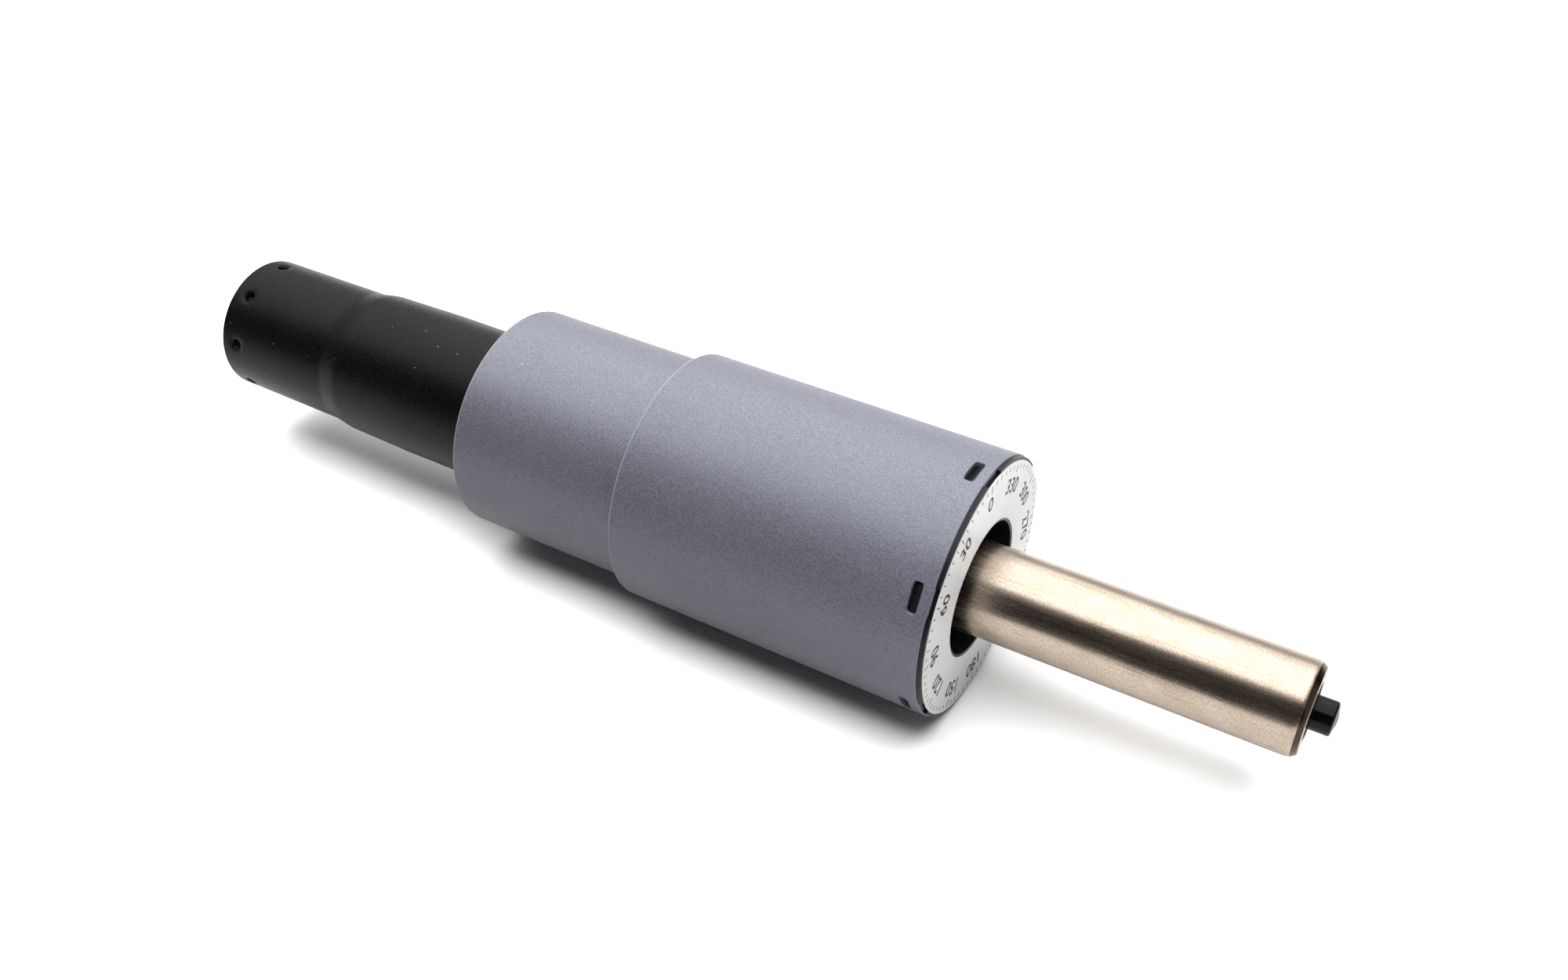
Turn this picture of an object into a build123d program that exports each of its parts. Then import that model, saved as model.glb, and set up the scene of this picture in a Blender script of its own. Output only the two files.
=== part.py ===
from build123d import *
import os
from math import cos, radians, sin

# Chair gas lift, lying on its side. The X axis runs along the lift, from the
# lower end of the standpipe (x = 0) to the seat end, and Z is up. Sizes are in
# mm, and a name that ends in _X is a place on the axis.

# Standpipe: tapered lower end, drawn neck above it, crimps round the end plate
STANDPIPE_RADIUS = 25.0
STANDPIPE_WALL = 1.8
STANDPIPE_TOP_X = 186.0
TAPER_LENGTH = 45.0
TAPER_END_RADIUS = 22.9
TAPER_TOP_RADIUS = 23.2
NECK_X = 52.0
NECK_RADIUS = 24.4
NECK_END_X = 78.0
NECK_HOLLOW_ROUND = 9.0
NECK_CROWN_ROUND = 14.0
END_CHAMFER = 0.7
CRIMP_COUNT = 8
CRIMP_FIRST_ANGLE = -14.5
CRIMP_X = 6.5
CRIMP_MOUTH_RADIUS = 2.2
CRIMP_DEPTH = 1.1
CRIMP_OUTSIDE_SLOPE = 40.0
CRIMP_INSIDE_SLOPE = 28.0

# Guide bush in the top of the standpipe
BUSH_LENGTH = 78.0
BUSH_FLANGE = 3.0
BUSH_INNER_SKIN = 2.4
BUSH_OUTER_SKIN = 1.6
BUSH_RIB_COUNT = 8
BUSH_RIB_WIDTH = 1.6

# Pressure tube, its stroke, and the release button
TUBE_RADIUS = 14.0
TUBE_RUNNING_RADIUS = 13.8
TUBE_STEP_X = 278.0
TUBE_WALL = 1.4
TUBE_END_X = 377.9
TUBE_CHAMFER_X = 376.06
TUBE_CHAMFER_ROUND = 0.8
TUBE_FACE_RADIUS = 12.46
TUBE_MOUTH_RADIUS = 8.8
TUBE_FOOT_MOUTH_RADIUS = 9.0
TUBE_FOOT_CHAMFER = 1.2
TUBE_LIP = 1.6
STROKE = 68.0
STROKE_SPARE = 0.5
BUTTON_RADIUS = 5.0
BUTTON_END_X = 384.6
BUTTON_LENGTH = 14.1
BUTTON_CHAMFER = 0.35
BUTTON_DIMPLE_RADIUS = 1.2
BUTTON_DIMPLE_DEPTH = 0.8
BUTTON_TRAVEL = 3.5

# Telescopic cover: lower and upper sleeve
LOWER_SLEEVE_RIM_X = 113.7
LOWER_SLEEVE_LENGTH = 85.0
LOWER_SLEEVE_RIM_RADIUS = 36.5
LOWER_SLEEVE_TOP_RADIUS = 36.65
LOWER_SLEEVE_WALL = 1.6
UPPER_SLEEVE_RIM_X = 175.7
UPPER_SLEEVE_END_X = 279.0
UPPER_SLEEVE_RIM_RADIUS = 40.3
UPPER_SLEEVE_END_RADIUS = 40.75
UPPER_SLEEVE_WALL = 1.8
SLEEVE_GAP = 0.35
LIP_LENGTH = 2.5
RIM_ROUND = 0.5

# Snap windows of the upper sleeve, and the cap that snaps into them
SNAP_COUNT = 6
SNAP_FIRST_ANGLE = -2.0
WINDOW_X = 274.2
WINDOW_LENGTH = 2.9
WINDOW_WIDTH = 9.2
CAP_RADIUS = 40.3
CAP_FLANGE = 1.3
CAP_BORE_RADIUS = 20.9
CAP_WALL = 1.6
CAP_DEPTH = 13.0
CAP_SKIRT_DEPTH = 8.5
CAP_FLOOR = 2.0
CAP_WEB_WIDTH = 1.2
CAP_WEB_RELIEF = 1.0
NOTCH_WIDTH = 8.8
NOTCH_DEPTH = 1.7
TAB_WIDTH = 7.8
TAB_HEIGHT = 1.1
TAB_LAND = 0.35
TAB_MARGIN = 0.4
TAB_BACK_MARGIN = 0.15
BORE_RIB_COUNT = 4
BORE_RIB_PITCH = 1.3
BORE_RIB_DEPTH = 0.5
BORE_RIB_START = 6.0
FINGER_COUNT = 12
FINGER_SLOT_WIDTH = 1.0
FINGER_ROOT = 2.0
LABEL_THICKNESS = 0.25
LABEL_INNER_RADIUS = 21.7
LABEL_OUTER_RADIUS = 39.4

# End plate, thrust bearing and what holds the piston rod in them
END_PLATE_X = 3.5
END_PLATE_TOP_X = 11.0
END_PLATE_RECESS_RADIUS = 11.2
CLIP_RADIUS = 8.0
CLIP_THICKNESS = 1.2
CLIP_GROOVE_RADIUS = 3.2
CLIP_MOUTH = 5.4
WASHER_RADIUS = 9.2
WASHER_THICKNESS = 1.25
RACE_RADIUS = 13.5
RACE_THICKNESS = 1.9
TRACK_RADIUS = 9.25
TRACK_DEPTH = 0.9
BALL_RADIUS = 2.0
BALL_COUNT = 12
CAGE_THICKNESS = 1.4
CAGE_INNER_RADIUS = 6.2
CAGE_OUTER_RADIUS = 12.5

# Piston rod, buffer and piston
ROD_RADIUS = 5.0
ROD_TIP_RADIUS = 4.0
ROD_END_X = 2.2
ROD_CHAMFER = 0.5
BUFFER_LENGTH = 17.9
BUFFER_RADIUS = 11.5
BUFFER_WAIST_DEPTH = 2.0
BUFFER_WAIST_ROUND = 4.0
BUFFER_WASHER_THICKNESS = 1.5
BUFFER_WASHER_RADIUS = 12.5
PISTON_LENGTH = 7.0
PISTON_BORE_RADIUS = 3.5
PISTON_RING = 0.9
NUT_LENGTH = 4.0
NUT_RADIUS = 7.6
ROD_PROUD_OF_NUT = 1.0

# Inner tube, and the stack that closes the pressure tube round the rod
INNER_TUBE_BORE = 9.0
INNER_TUBE_WALL = 1.0
SEAL_WASHER_THICKNESS = 1.5
SEAL_LENGTH = 6.0
SEAL_FLANGE = 2.5
SEAL_LIP = 1.2
SEAL_HOLLOW_RADIUS = 8.0
GUIDE_LENGTH = 8.0
GUIDE_SPIGOT = 4.0
GUIDE_HOLE_RADIUS = 0.7
GUIDE_HOLE_CIRCLE = 11.3
GUIDE_HOLE_COUNT = 6
PISTON_GAP = 1.0

# Valve in the upper end of the pressure tube
VALVE_LENGTH = 26.0
VALVE_SPIGOT = 6.0
PIN_RADIUS = 2.0
PIN_WAIST_RADIUS = 1.2
PIN_HEAD_RADIUS = 4.0
PIN_HEAD_LENGTH = 3.0
PIN_HEAD_CHAMFER = 0.6
PIN_IN_BUTTON = 8.0
CHAMBER_RADIUS = 2.7
CHAMBER_LENGTH = 6.0
CROSS_HOLE_RADIUS = 0.8
CROSS_HOLE_COUNT = 4
GALLERY_X = 1.6
GALLERY_LENGTH = 2.0
GALLERY_RADIUS = 10.8
BODY_RING = 1.05
BODY_RING_PLACES = (7.0, 13.0)
SPIGOT_RING = 0.8
SPIGOT_RING_PLACE = -3.0
PIN_RING = 0.85
PIN_RING_PLACE = 9.0
RING_SIDE_GAP = 0.2

# Clearances: a press fit's slack, a gap between still faces, a running fit, and
# a gap that shows
PRESSED = 0.02
TOUCH = 0.05
RUNNING = 0.06
LOOSE = 0.3

# Beyond every outer surface, for cuts that open outwards
OUTSIDE = STANDPIPE_RADIUS + UPPER_SLEEVE_END_RADIUS


def spoke(angle):
    """Unit vector square to the axis, angle degrees round it from the top."""
    return Vector(0, -sin(radians(angle)), cos(radians(angle)))


def spoke_planes(count, first_angle):
    """Planes through the axis at even steps, with (x, radius) as coordinates."""
    planes = []
    for step in range(count):
        outwards = spoke(first_angle + 360.0 * step / count)
        across = Vector(1, 0, 0).cross(outwards)
        planes.append(Plane(origin=(0, 0, 0), x_dir=(1, 0, 0), z_dir=across))
    return planes


def outward_planes(count, first_angle, x, radius):
    """Planes that face away from the axis at even steps round it."""
    planes = []
    for step in range(count):
        outwards = spoke(first_angle + 360.0 * step / count)
        origin = outwards * radius + Vector(x, 0, 0)
        planes.append(Plane(origin=origin, x_dir=(1, 0, 0), z_dir=outwards))
    return planes


def outline(*points):
    """Face inside a closed run of (x, radius) points."""
    with BuildLine() as edge:
        Polyline(*points, close=True)
    make_face(edge.edges())


def band(x_low, x_high, r_low, r_high, mode=Mode.ADD):
    """Rectangular face between two places on the axis and two radii."""
    with Locations(((x_low + x_high) / 2, (r_low + r_high) / 2)):
        Rectangle(x_high - x_low, r_high - r_low, mode=mode)


def ring_section(x, radius, wire):
    """Round face, the section of a ring of that wire radius."""
    with Locations((x, radius)):
        Circle(wire)


def ring_groove(x, wire, r_low, r_high):
    """Groove for a ring of that wire radius, cut from the open face."""
    half = wire + RING_SIDE_GAP
    band(x - half, x + half, r_low, r_high, mode=Mode.SUBTRACT)


# Standpipe: steel tube of one wall thickness. Each crimp is a punched hollow
# outside and a blunt nub inside.
pipe_bore = STANDPIPE_RADIUS - STANDPIPE_WALL
with BuildPart() as standpipe:
    with BuildSketch():
        outline(
            (0, TAPER_END_RADIUS - STANDPIPE_WALL),
            (0, TAPER_END_RADIUS - END_CHAMFER),
            (END_CHAMFER, TAPER_END_RADIUS),
            (TAPER_LENGTH, TAPER_TOP_RADIUS),
            (NECK_X, NECK_RADIUS),
            (NECK_END_X, STANDPIPE_RADIUS),
            (STANDPIPE_TOP_X, STANDPIPE_RADIUS),
            (STANDPIPE_TOP_X, pipe_bore),
            (NECK_END_X, pipe_bore),
            (NECK_X, NECK_RADIUS - STANDPIPE_WALL),
            (TAPER_LENGTH, TAPER_TOP_RADIUS - STANDPIPE_WALL),
        )
        hollow = vertices().filter_by_position(Axis.X, TAPER_LENGTH - 1, TAPER_LENGTH + 1)
        fillet(hollow, NECK_HOLLOW_ROUND)
        crown = vertices().filter_by_position(Axis.X, NECK_X - 1, NECK_X + 1)
        fillet(crown, NECK_CROWN_ROUND)
    revolve(axis=Axis.X)
    half_wall = STANDPIPE_WALL / 2
    mid_wall = TAPER_END_RADIUS - half_wall
    with BuildSketch(*outward_planes(CRIMP_COUNT, CRIMP_FIRST_ANGLE, CRIMP_X, mid_wall)):
        Circle(CRIMP_MOUTH_RADIUS)
    extrude(amount=-half_wall - CRIMP_DEPTH + 2 * TOUCH, taper=CRIMP_INSIDE_SLOPE)
    mouth = TAPER_END_RADIUS + 2 * TOUCH
    with BuildSketch(*outward_planes(CRIMP_COUNT, CRIMP_FIRST_ANGLE, CRIMP_X, mouth)):
        Circle(CRIMP_MOUTH_RADIUS)
    extrude(amount=-CRIMP_DEPTH, taper=CRIMP_OUTSIDE_SLOPE, mode=Mode.SUBTRACT)

# End plate: steel disc pressed into the tapered end. The crimps sit in its groove,
# the clip and the washer in its recess, and the thrust bearing on its inner face.
plate_radius = TAPER_END_RADIUS - STANDPIPE_WALL + PRESSED
clip_x = END_PLATE_X + TOUCH
washer_x = clip_x + CLIP_THICKNESS
recess_x = washer_x + WASHER_THICKNESS + TOUCH
with BuildPart() as end_plate:
    with BuildSketch():
        band(END_PLATE_X, END_PLATE_TOP_X, ROD_TIP_RADIUS + RUNNING, plate_radius)
        band(END_PLATE_X, recess_x, 0, END_PLATE_RECESS_RADIUS, mode=Mode.SUBTRACT)
        ring_groove(CRIMP_X, CRIMP_MOUTH_RADIUS, plate_radius - CRIMP_DEPTH - TOUCH, OUTSIDE)
    revolve(axis=Axis.X)

# Thrust bearing: the lower race stands on the end plate, the upper race turns
# with the rod, and the caged balls roll in a groove of each.
ball_x = END_PLATE_TOP_X + RACE_THICKNESS - TRACK_DEPTH + BALL_RADIUS + TOUCH
upper_race_x = ball_x + TOUCH + BALL_RADIUS - TRACK_DEPTH
shoulder_x = upper_race_x + RACE_THICKNESS
with BuildPart() as bearing_lower_race:
    with BuildSketch():
        band(END_PLATE_TOP_X, END_PLATE_TOP_X + RACE_THICKNESS, ROD_TIP_RADIUS + LOOSE, RACE_RADIUS)
        with Locations((ball_x, TRACK_RADIUS)):
            Circle(BALL_RADIUS + TOUCH, mode=Mode.SUBTRACT)
    revolve(axis=Axis.X)

with BuildPart() as bearing_upper_race:
    with BuildSketch():
        band(upper_race_x, shoulder_x, ROD_TIP_RADIUS, RACE_RADIUS)
        with Locations((ball_x, TRACK_RADIUS)):
            Circle(BALL_RADIUS + TOUCH, mode=Mode.SUBTRACT)
    revolve(axis=Axis.X)

with BuildPart() as bearing_cage:
    with BuildSketch(Plane.YZ.offset(ball_x)):
        Circle(CAGE_OUTER_RADIUS)
        Circle(CAGE_INNER_RADIUS, mode=Mode.SUBTRACT)
        with PolarLocations(TRACK_RADIUS, BALL_COUNT):
            Circle(BALL_RADIUS + RUNNING, mode=Mode.SUBTRACT)
    extrude(amount=CAGE_THICKNESS / 2, both=True)

with BuildPart() as bearing_balls:
    with Locations(Plane.YZ.offset(ball_x)):
        with PolarLocations(TRACK_RADIUS, BALL_COUNT):
            Sphere(BALL_RADIUS)

# Stations along the rod, from its shoulder to the piston. With the lift fully
# out, the pressure tube's foot stands one stroke above the buffer.
buffer_top_x = shoulder_x + BUFFER_LENGTH
tube_foot_x = buffer_top_x + BUFFER_WASHER_THICKNESS + STROKE + STROKE_SPARE
seal_washer_x = tube_foot_x + TUBE_LIP
seal_x = seal_washer_x + SEAL_WASHER_THICKNESS
guide_x = seal_x + SEAL_LENGTH
inner_tube_x = guide_x + GUIDE_LENGTH
piston_x = inner_tube_x + GUIDE_SPIGOT + PISTON_GAP
nut_x = piston_x + PISTON_LENGTH

# Piston rod: polished steel. Its thin tip passes through the bearing and the end
# plate and carries the clip; its upper spigot carries the piston.
with BuildPart() as piston_rod:
    with BuildSketch():
        band(ROD_END_X, shoulder_x, 0, ROD_TIP_RADIUS)
        band(shoulder_x, piston_x, 0, ROD_RADIUS)
        band(piston_x, nut_x + NUT_LENGTH + ROD_PROUD_OF_NUT, 0, PISTON_BORE_RADIUS)
        band(clip_x, washer_x, CLIP_GROOVE_RADIUS, ROD_RADIUS, mode=Mode.SUBTRACT)
    revolve(axis=Axis.X)
    chamfer(edges().group_by(Axis.X)[0], ROD_CHAMFER)
    chamfer(edges().group_by(Axis.X)[-1], ROD_CHAMFER)

# Retaining clip: open spring ring in the groove of the rod's tip
with BuildPart() as retaining_clip:
    with BuildSketch(Plane.YZ.offset(clip_x)):
        Circle(CLIP_RADIUS)
        Circle(CLIP_GROOVE_RADIUS, mode=Mode.SUBTRACT)
        with Locations((0, -CLIP_RADIUS)):
            Rectangle(CLIP_MOUTH, 2 * CLIP_RADIUS, mode=Mode.SUBTRACT)
    extrude(amount=CLIP_THICKNESS)

# End washer: hard steel washer between the clip and the end plate
with BuildPart() as end_washer:
    with BuildSketch():
        band(washer_x, washer_x + WASHER_THICKNESS, ROD_TIP_RADIUS, WASHER_RADIUS)
    revolve(axis=Axis.X)

# Buffer: rubber ring that stops the tube at the bottom of the stroke, waisted so
# that it can bulge, with a steel washer on top
with BuildPart() as buffer:
    with BuildSketch():
        band(shoulder_x, buffer_top_x, ROD_RADIUS, BUFFER_RADIUS)
        waist_centre = BUFFER_RADIUS + BUFFER_WAIST_ROUND - BUFFER_WAIST_DEPTH
        with Locations(((shoulder_x + buffer_top_x) / 2, waist_centre)):
            Circle(BUFFER_WAIST_ROUND, mode=Mode.SUBTRACT)
    revolve(axis=Axis.X)

with BuildPart() as buffer_washer:
    with BuildSketch():
        washer_top = buffer_top_x + BUFFER_WASHER_THICKNESS
        band(buffer_top_x, washer_top, ROD_RADIUS, BUFFER_WASHER_RADIUS)
    revolve(axis=Axis.X)

# Guide bush: long plastic bush in the top of the standpipe, two thin walls joined
# by ribs, with a flange on the pipe's end. The pressure tube slides in it.
bush_x = STANDPIPE_TOP_X - BUSH_LENGTH
bush_top_x = STANDPIPE_TOP_X + BUSH_FLANGE
bush_bore = TUBE_RUNNING_RADIUS + RUNNING
with BuildPart() as guide_bush:
    with BuildSketch():
        band(bush_x, bush_top_x, bush_bore, bush_bore + BUSH_INNER_SKIN)
        band(bush_x, bush_top_x, pipe_bore - BUSH_OUTER_SKIN, pipe_bore)
        band(STANDPIPE_TOP_X, bush_top_x, bush_bore, STANDPIPE_RADIUS - END_CHAMFER)
    revolve(axis=Axis.X)
    with BuildSketch(*spoke_planes(BUSH_RIB_COUNT, 0)):
        rib_low = bush_bore + BUSH_INNER_SKIN / 2
        band(bush_x, STANDPIPE_TOP_X + TOUCH, rib_low, pipe_bore - BUSH_OUTER_SKIN / 2)
    extrude(amount=BUSH_RIB_WIDTH / 2, both=True)

# Pressure tube: polished steel tube, rolled in at both ends. Below the step it is
# ground a little thinner, where it runs in the guide bush.
tube_bore = TUBE_RADIUS - TUBE_WALL
valve_top_x = TUBE_END_X - TUBE_LIP
with BuildPart() as pressure_tube:
    with BuildSketch():
        outline(
            (tube_foot_x, TUBE_FOOT_MOUTH_RADIUS),
            (tube_foot_x, TUBE_RUNNING_RADIUS - TUBE_FOOT_CHAMFER),
            (tube_foot_x + TUBE_FOOT_CHAMFER, TUBE_RUNNING_RADIUS),
            (TUBE_STEP_X, TUBE_RUNNING_RADIUS),
            (TUBE_STEP_X, TUBE_RADIUS),
            (TUBE_CHAMFER_X, TUBE_RADIUS),
            (TUBE_END_X, TUBE_FACE_RADIUS),
            (TUBE_END_X, TUBE_MOUTH_RADIUS),
            (valve_top_x, TUBE_MOUTH_RADIUS),
            (valve_top_x, tube_bore),
            (seal_washer_x, tube_bore),
            (seal_washer_x, TUBE_FOOT_MOUTH_RADIUS),
        )
        corner = vertices().filter_by_position(Axis.X, TUBE_CHAMFER_X - TOUCH, TUBE_CHAMFER_X + TOUCH)
        fillet(corner, TUBE_CHAMFER_ROUND)
    revolve(axis=Axis.X)

# Seal washer, rod seal and rod guide: the stack in the tube's foot. Holes in the
# guide join the space between the tubes to the one below the piston.
with BuildPart() as seal_washer:
    with BuildSketch():
        band(seal_washer_x, seal_x, ROD_RADIUS + LOOSE, tube_bore)
    revolve(axis=Axis.X)

lip_radius = ROD_RADIUS + RUNNING
with BuildPart() as rod_seal:
    with BuildSketch():
        outline(
            (seal_x, lip_radius),
            (seal_x, tube_bore),
            (guide_x, tube_bore),
            (guide_x, tube_bore - SEAL_FLANGE),
            (seal_x + SEAL_LENGTH / 2, SEAL_HOLLOW_RADIUS),
            (guide_x - SEAL_LIP, lip_radius + SEAL_LIP),
            (guide_x - SEAL_LIP, lip_radius),
            (seal_x + 2 * SEAL_LIP, lip_radius),
            (seal_x + 1.5 * SEAL_LIP, lip_radius + SEAL_LIP / 2),
            (seal_x + SEAL_LIP, lip_radius),
        )
    revolve(axis=Axis.X)

spigot_radius = INNER_TUBE_BORE - PRESSED
with BuildPart() as rod_guide:
    with BuildSketch():
        band(guide_x, inner_tube_x, lip_radius, tube_bore)
        band(inner_tube_x, inner_tube_x + GUIDE_SPIGOT, lip_radius, spigot_radius)
    revolve(axis=Axis.X)
    with BuildSketch(Plane.YZ.offset(guide_x)):
        with PolarLocations(GUIDE_HOLE_CIRCLE, GUIDE_HOLE_COUNT):
            Circle(GUIDE_HOLE_RADIUS)
    extrude(amount=GUIDE_LENGTH, mode=Mode.SUBTRACT)

# Valve body: turned plug in the tube's upper end, with a spigot in the inner tube.
# Cross holes join the gallery round the plug to the chamber round the pin.
valve_x = valve_top_x - VALVE_LENGTH
spigot_x = valve_x - VALVE_SPIGOT
button_x = BUTTON_END_X - BUTTON_LENGTH
gallery_x = valve_x + GALLERY_X
body_ring_xs = [valve_x + place for place in BODY_RING_PLACES]
spigot_ring_x = valve_x + SPIGOT_RING_PLACE
pin_ring_x = valve_x + PIN_RING_PLACE
with BuildPart() as valve_body:
    with BuildSketch():
        band(valve_x, valve_top_x, PIN_RADIUS + RUNNING, tube_bore)
        band(spigot_x, valve_x, PIN_RADIUS + RUNNING, spigot_radius)
        band(spigot_x, valve_x + CHAMBER_LENGTH, 0, CHAMBER_RADIUS, mode=Mode.SUBTRACT)
        well_x = button_x - BUTTON_TRAVEL - LOOSE
        band(well_x, valve_top_x, 0, BUTTON_RADIUS + RUNNING, mode=Mode.SUBTRACT)
        half_gallery = GALLERY_LENGTH / 2
        gallery_end_x = gallery_x + half_gallery
        band(gallery_x - half_gallery, gallery_end_x, GALLERY_RADIUS, OUTSIDE, mode=Mode.SUBTRACT)
        for ring_x in body_ring_xs:
            ring_groove(ring_x, BODY_RING, tube_bore - 2 * BODY_RING, OUTSIDE)
        ring_groove(spigot_ring_x, SPIGOT_RING, INNER_TUBE_BORE - 2 * SPIGOT_RING, OUTSIDE)
        ring_groove(pin_ring_x, PIN_RING, 0, PIN_RADIUS + 2 * PIN_RING)
    revolve(axis=Axis.X)
    with BuildSketch(*outward_planes(CROSS_HOLE_COUNT, 0, gallery_x, PIN_RADIUS)):
        Circle(CROSS_HOLE_RADIUS)
    extrude(amount=tube_bore, mode=Mode.SUBTRACT)

# Inner tube: thin steel tube that the piston slides in
with BuildPart() as inner_tube:
    with BuildSketch():
        band(inner_tube_x, valve_x, INNER_TUBE_BORE, INNER_TUBE_BORE + INNER_TUBE_WALL)
    revolve(axis=Axis.X)

# Valve rings: rubber rings, two round the valve body and one round its spigot
with BuildPart() as valve_rings:
    with BuildSketch():
        for ring_x in body_ring_xs:
            ring_section(ring_x, tube_bore - BODY_RING, BODY_RING - PRESSED)
        ring_section(spigot_ring_x, INNER_TUBE_BORE - SPIGOT_RING, SPIGOT_RING - PRESSED)
    revolve(axis=Axis.X)

# Pin seal: small rubber ring between the valve body and the pin
with BuildPart() as pin_seal:
    with BuildSketch():
        ring_section(pin_ring_x, PIN_RADIUS + PIN_RING, PIN_RING - PRESSED)
    revolve(axis=Axis.X)

# Valve pin: its head closes the spigot's mouth from inside, its waist lets gas
# past, and its upper end stands in the button
with BuildPart() as valve_pin:
    with BuildSketch():
        waist_end_x = valve_x + CHAMBER_LENGTH - 1.5 * PIN_RADIUS
        pin_end_x = button_x + PIN_IN_BUTTON
        outline(
            (spigot_x - PIN_HEAD_LENGTH, 0),
            (spigot_x - PIN_HEAD_LENGTH, PIN_HEAD_RADIUS),
            (spigot_x - PIN_HEAD_CHAMFER, PIN_HEAD_RADIUS),
            (spigot_x, PIN_HEAD_RADIUS - PIN_HEAD_CHAMFER),
            (spigot_x, PIN_WAIST_RADIUS),
            (waist_end_x, PIN_WAIST_RADIUS),
            (waist_end_x + PIN_RADIUS - PIN_WAIST_RADIUS, PIN_RADIUS),
            (pin_end_x, PIN_RADIUS),
            (pin_end_x, 0),
        )
    revolve(axis=Axis.X)

# Release button: plastic cap on the pin, with a small dimple in its end
with BuildPart() as release_button:
    with BuildSketch():
        band(button_x, BUTTON_END_X, 0, BUTTON_RADIUS)
        band(button_x, pin_end_x, 0, PIN_RADIUS, mode=Mode.SUBTRACT)
        dimple_x = BUTTON_END_X - BUTTON_DIMPLE_DEPTH
        band(dimple_x, BUTTON_END_X, 0, BUTTON_DIMPLE_RADIUS, mode=Mode.SUBTRACT)
        chamfer(vertices().group_by(Axis.X)[-1].sort_by(Axis.Y)[-1], BUTTON_CHAMFER)
    revolve(axis=Axis.X)

# Piston, its seal ring, and the nut that holds it on the rod
piston_radius = INNER_TUBE_BORE - RUNNING
piston_ring_x = piston_x + PISTON_LENGTH / 2
with BuildPart() as piston:
    with BuildSketch():
        band(piston_x, nut_x, PISTON_BORE_RADIUS, piston_radius)
        ring_groove(piston_ring_x, PISTON_RING, piston_radius - 2 * PISTON_RING, OUTSIDE)
    revolve(axis=Axis.X)

with BuildPart() as piston_seal:
    with BuildSketch():
        ring_section(piston_ring_x, piston_radius - PISTON_RING, PISTON_RING - PRESSED)
    revolve(axis=Axis.X)

with BuildPart() as piston_nut:
    with BuildSketch(Plane.YZ.offset(nut_x)):
        RegularPolygon(NUT_RADIUS, 6)
        Circle(PISTON_BORE_RADIUS, mode=Mode.SUBTRACT)
    extrude(amount=NUT_LENGTH)

# Lower sleeve: plastic tube with an outward lip at its hidden top
lower_top_x = LOWER_SLEEVE_RIM_X + LOWER_SLEEVE_LENGTH
upper_bore_low = UPPER_SLEEVE_RIM_RADIUS - UPPER_SLEEVE_WALL
with BuildPart() as lower_sleeve:
    with BuildSketch():
        outline(
            (LOWER_SLEEVE_RIM_X, LOWER_SLEEVE_RIM_RADIUS - LOWER_SLEEVE_WALL),
            (LOWER_SLEEVE_RIM_X, LOWER_SLEEVE_RIM_RADIUS),
            (lower_top_x - LIP_LENGTH, LOWER_SLEEVE_TOP_RADIUS),
            (lower_top_x - LIP_LENGTH, upper_bore_low - LOOSE),
            (lower_top_x, upper_bore_low - LOOSE),
            (lower_top_x, LOWER_SLEEVE_TOP_RADIUS - LOWER_SLEEVE_WALL),
        )
        fillet(vertices().group_by(Axis.X)[0], RIM_ROUND)
    revolve(axis=Axis.X)

# Upper sleeve: wider plastic tube, with an inward lip at its rim and, near the
# other end, windows that the cap's tabs snap into
upper_bore_high = UPPER_SLEEVE_END_RADIUS - UPPER_SLEEVE_WALL
lip_bore = LOWER_SLEEVE_TOP_RADIUS + SLEEVE_GAP
window_low = WINDOW_X - WINDOW_LENGTH / 2
window_high = WINDOW_X + WINDOW_LENGTH / 2
snap_planes = spoke_planes(SNAP_COUNT, SNAP_FIRST_ANGLE)
with BuildPart() as upper_sleeve:
    with BuildSketch():
        outline(
            (UPPER_SLEEVE_RIM_X, lip_bore),
            (UPPER_SLEEVE_RIM_X, UPPER_SLEEVE_RIM_RADIUS),
            (UPPER_SLEEVE_END_X, UPPER_SLEEVE_END_RADIUS),
            (UPPER_SLEEVE_END_X, upper_bore_high),
            (UPPER_SLEEVE_RIM_X + LIP_LENGTH, upper_bore_low),
            (UPPER_SLEEVE_RIM_X + LIP_LENGTH, lip_bore),
        )
        fillet(vertices().group_by(Axis.X)[0].sort_by(Axis.Y)[-1], RIM_ROUND)
    revolve(axis=Axis.X)
    with BuildSketch(*snap_planes):
        band(window_low, window_high, LOWER_SLEEVE_TOP_RADIUS, OUTSIDE)
    extrude(amount=WINDOW_WIDTH / 2, both=True, mode=Mode.SUBTRACT)

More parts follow.
